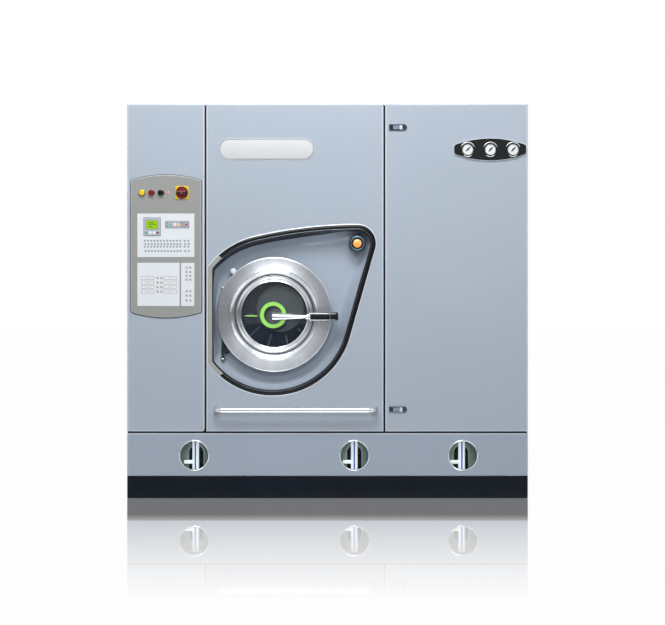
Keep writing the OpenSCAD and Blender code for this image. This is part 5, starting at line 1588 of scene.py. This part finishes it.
class MACHINE_OT_stage(MachineOperator, bpy.types.Operator):
    """Pale floor, white surround, soft lamps and the camera"""
    bl_idname = "machine.stage"
    bl_label = "Stage"

    def build(self, context):
        self.floor()
        self.world(context)
        self.lamps()
        self.camera(context)
        context.scene.view_settings.view_transform = "Standard"

    def floor(self):
        """A flat plane that the camera and glossy rays see nearly white. In front of the machine
        a mirror is mixed in, which fades out away from it."""
        mesh = bpy.data.meshes.new("stage_floor")
        reach = 14.0
        corners = [(-reach, -reach, 0), (reach, -reach, 0), (reach, reach, 0), (-reach, reach, 0)]
        mesh.from_pydata(corners, [], [(0, 1, 2, 3)])
        floor = bpy.data.objects.new("stage_floor", mesh)
        bpy.context.scene.collection.objects.link(floor)
        material, t, bsdf = new_material("floor_pale")
        bsdf.inputs["Base Color"].default_value = (0.3, 0.31, 0.32, 1)
        bsdf.inputs["Roughness"].default_value = 0.5
        path = t.node("ShaderNodeLightPath").outputs
        place = t.node("ShaderNodeTexCoord").outputs["Object"]
        spread = t.part(place, "Y")
        pale = t.math("MAXIMUM", path["Is Camera Ray"], t.remap(spread, -5, -2.0, 0.12, 1.0))
        white = t.node("ShaderNodeEmission", {"Color": (1, 1, 1, 1), "Strength": pale})
        shine = t.node("ShaderNodeBsdfGlossy", {"Color": (1, 1, 1, 1), "Roughness": 0.03})
        before = t.math("LESS_THAN", spread, FRONT / 1000)
        fade = t.math("ADD", t.remap(spread, -2.6, -1.29, 0.0, 0.57),
                      t.remap(spread, -1.29, -1.12, 0.0, 0.27))
        aside = t.math("ABSOLUTE", t.part(place, "X"))
        near = t.math("MULTIPLY", t.math("MULTIPLY", before, fade),
                      t.remap(aside, 1.1, 1.6, 1.0, 0.0))
        seen = t.node("ShaderNodeMixShader", {0: near, 1: white.outputs[0], 2: shine.outputs[0]})
        soft = t.node("ShaderNodeMixShader", {0: 0.02, 1: seen.outputs[0], 2: bsdf.outputs[0]})
        direct = t.math("MAXIMUM", path["Is Camera Ray"], path["Is Glossy Ray"])
        blend = t.node("ShaderNodeMixShader", {0: direct, 1: bsdf.outputs[0],
                                               2: soft.outputs[0]})
        t.link(blend.outputs[0], material.node_tree.nodes["Material Output"].inputs[0])
        mesh.materials.append(material)

    def world(self, context):
        """White to the camera; reflections see it too, with a darker band at eye level, as a
        room has between its bright ceiling and its pale floor. Everything else gets soft grey."""
        world = bpy.data.worlds.new("pale_room")
        world.use_nodes = True
        t = Tree(world.node_tree)
        path = t.node("ShaderNodeLightPath").outputs
        way = t.node("ShaderNodeTexCoord").outputs["Generated"]
        flat = t.node("ShaderNodeMapping", {"Vector": way, "Scale": (1, 1, 0.35)})
        patch = t.noise(flat.outputs["Vector"], 2.6, 2.0)
        edge = t.math("MULTIPLY_ADD", patch, 0.5, t.math("ABSOLUTE", t.part(way, "Z")))
        room = t.remap(edge, 0.42, 0.7, 0.29, 1.0)
        behind = t.remap(t.part(way, "Y"), -0.1, 0.2)
        room = t.math("MAXIMUM", room, behind)
        shine = t.math("MULTIPLY", path["Is Glossy Ray"], room)
        plain = t.math("MULTIPLY", t.math("SUBTRACT", 1.0, path["Is Glossy Ray"]), 0.22)
        seen = t.math("MAXIMUM", path["Is Camera Ray"], path["Is Transmission Ray"])
        strength = t.math("MAXIMUM", seen, t.math("ADD", shine, plain))
        back = world.node_tree.nodes["Background"]
        back.inputs["Color"].default_value = (1, 1, 1, 1)
        t.link(strength, back.inputs["Strength"])
        context.scene.world = world

    def lamps(self):
        """Large soft boxes, three of them seen in reflections, and a narrow spot through the
        glass onto the drum's back. Places are metres and powers watts."""
        for name, place, aim, width, height, power, mirrored in (
                ("key_softbox", (-0.35, -3.4, 4.2), (0, -0.6, 1.3), 2.6, 1.6, 120, True),
                ("fill_softbox", (3.4, -3.4, 2.6), (0, -0.6, 1.0), 1.6, 2.4, 8, True),
                ("front_softbox", (0.3, -7.0, 3.4), (-0.2, -0.6, 0.9), 3.2, 1.6, 124, False),
                ("back_softbox", (-1.2, 5.4, 3.4), (0, 0.7, 1.0), 3.0, 2.0, 130, False),
                ("left_softbox", (-5.2, 1.0, 2.8), (-1, 0, 1.0), 2.4, 2.0, 40, False),
                ("top_softbox", (0, 0.4, 4.2), (0, 0.0, 1.9), 3.0, 2.0, 60, True)):
            light = bpy.data.lights.new(name, "AREA")
            light.shape = "RECTANGLE"
            light.size, light.size_y, light.energy = width, height, power
            self.hang(light, place, aim, mirrored)
        light = bpy.data.lights.new("drum_spot", "SPOT")
        light.energy, light.spot_size, light.spot_blend = 700, math.radians(3.3), 0.15
        light.shadow_soft_size = 0.03
        self.hang(light, (-0.1, -6.9, 1.35), (-0.2675, -0.69, 0.895), False)

    def hang(self, light, place, aim, mirrored):
        lamp = bpy.data.objects.new(light.name, light)
        bpy.context.scene.collection.objects.link(lamp)
        lamp.location = place
        way = Vector(aim) - Vector(place)
        lamp.rotation_euler = way.to_track_quat("-Z", "Y").to_euler()
        lamp.visible_glossy = mirrored

    def camera(self, context):
        """Square on to the front, a little over half the machine's height up; the lens and its
        shift frame the machine as the photo does."""
        away, aside, height = 6.3, 0.025, 1.217
        data = bpy.data.cameras.new("front_view")
        data.lens, data.sensor_width, data.sensor_fit = 68.2, 36.0, "HORIZONTAL"
        data.shift_y = -0.0868
        data.clip_end = 60
        view = bpy.data.objects.new("front_view", data)
        context.scene.collection.objects.link(view)
        view.location = (aside, FRONT * 0.001 - away, height)
        view.rotation_euler = (math.pi / 2, 0, 0)
        context.scene.camera = view


class MACHINE_PT_sidebar(bpy.types.Panel):
    """Lists the machine's sizes, colours and build steps"""
    bl_label = "Dry Cleaning Machine"
    bl_idname = "MACHINE_PT_sidebar"
    bl_space_type = "VIEW_3D"
    bl_region_type = "UI"
    bl_category = "Dry Cleaning"

    def draw(self, context):
        for group in (context.scene.machine_sizes, context.scene.machine_colours):
            for name in group.bl_rna.properties.keys():
                if name not in ("rna_type", "name"):
                    self.layout.prop(group, name)
        for step in STEPS:
            self.layout.operator(step.bl_idname)


STEPS = (MACHINE_OT_cabinet, MACHINE_OT_recess, MACHINE_OT_drum, MACHINE_OT_door,
         MACHINE_OT_lever, MACHINE_OT_windows, MACHINE_OT_fittings, MACHINE_OT_controls,
         MACHINE_OT_gauges, MACHINE_OT_plant, MACHINE_OT_stage)
CLASSES = (MachineSizes, MachineColours, *STEPS, MACHINE_PT_sidebar)


def register():
    for cls in CLASSES:
        bpy.utils.register_class(cls)
    bpy.types.Scene.machine_sizes = PointerProperty(type=MachineSizes)
    bpy.types.Scene.machine_colours = PointerProperty(type=MachineColours)


def unregister():
    del bpy.types.Scene.machine_colours
    del bpy.types.Scene.machine_sizes
    for cls in reversed(CLASSES):
        bpy.utils.unregister_class(cls)


def main():
    register()
    common_finishes()
    for step in STEPS:
        group, name = step.bl_idname.split(".")
        if getattr(getattr(bpy.ops, group), name)() != {"FINISHED"}:
            raise RuntimeError(f"{step.bl_label} wasn't built")


if __name__ == "__main__":
    main()
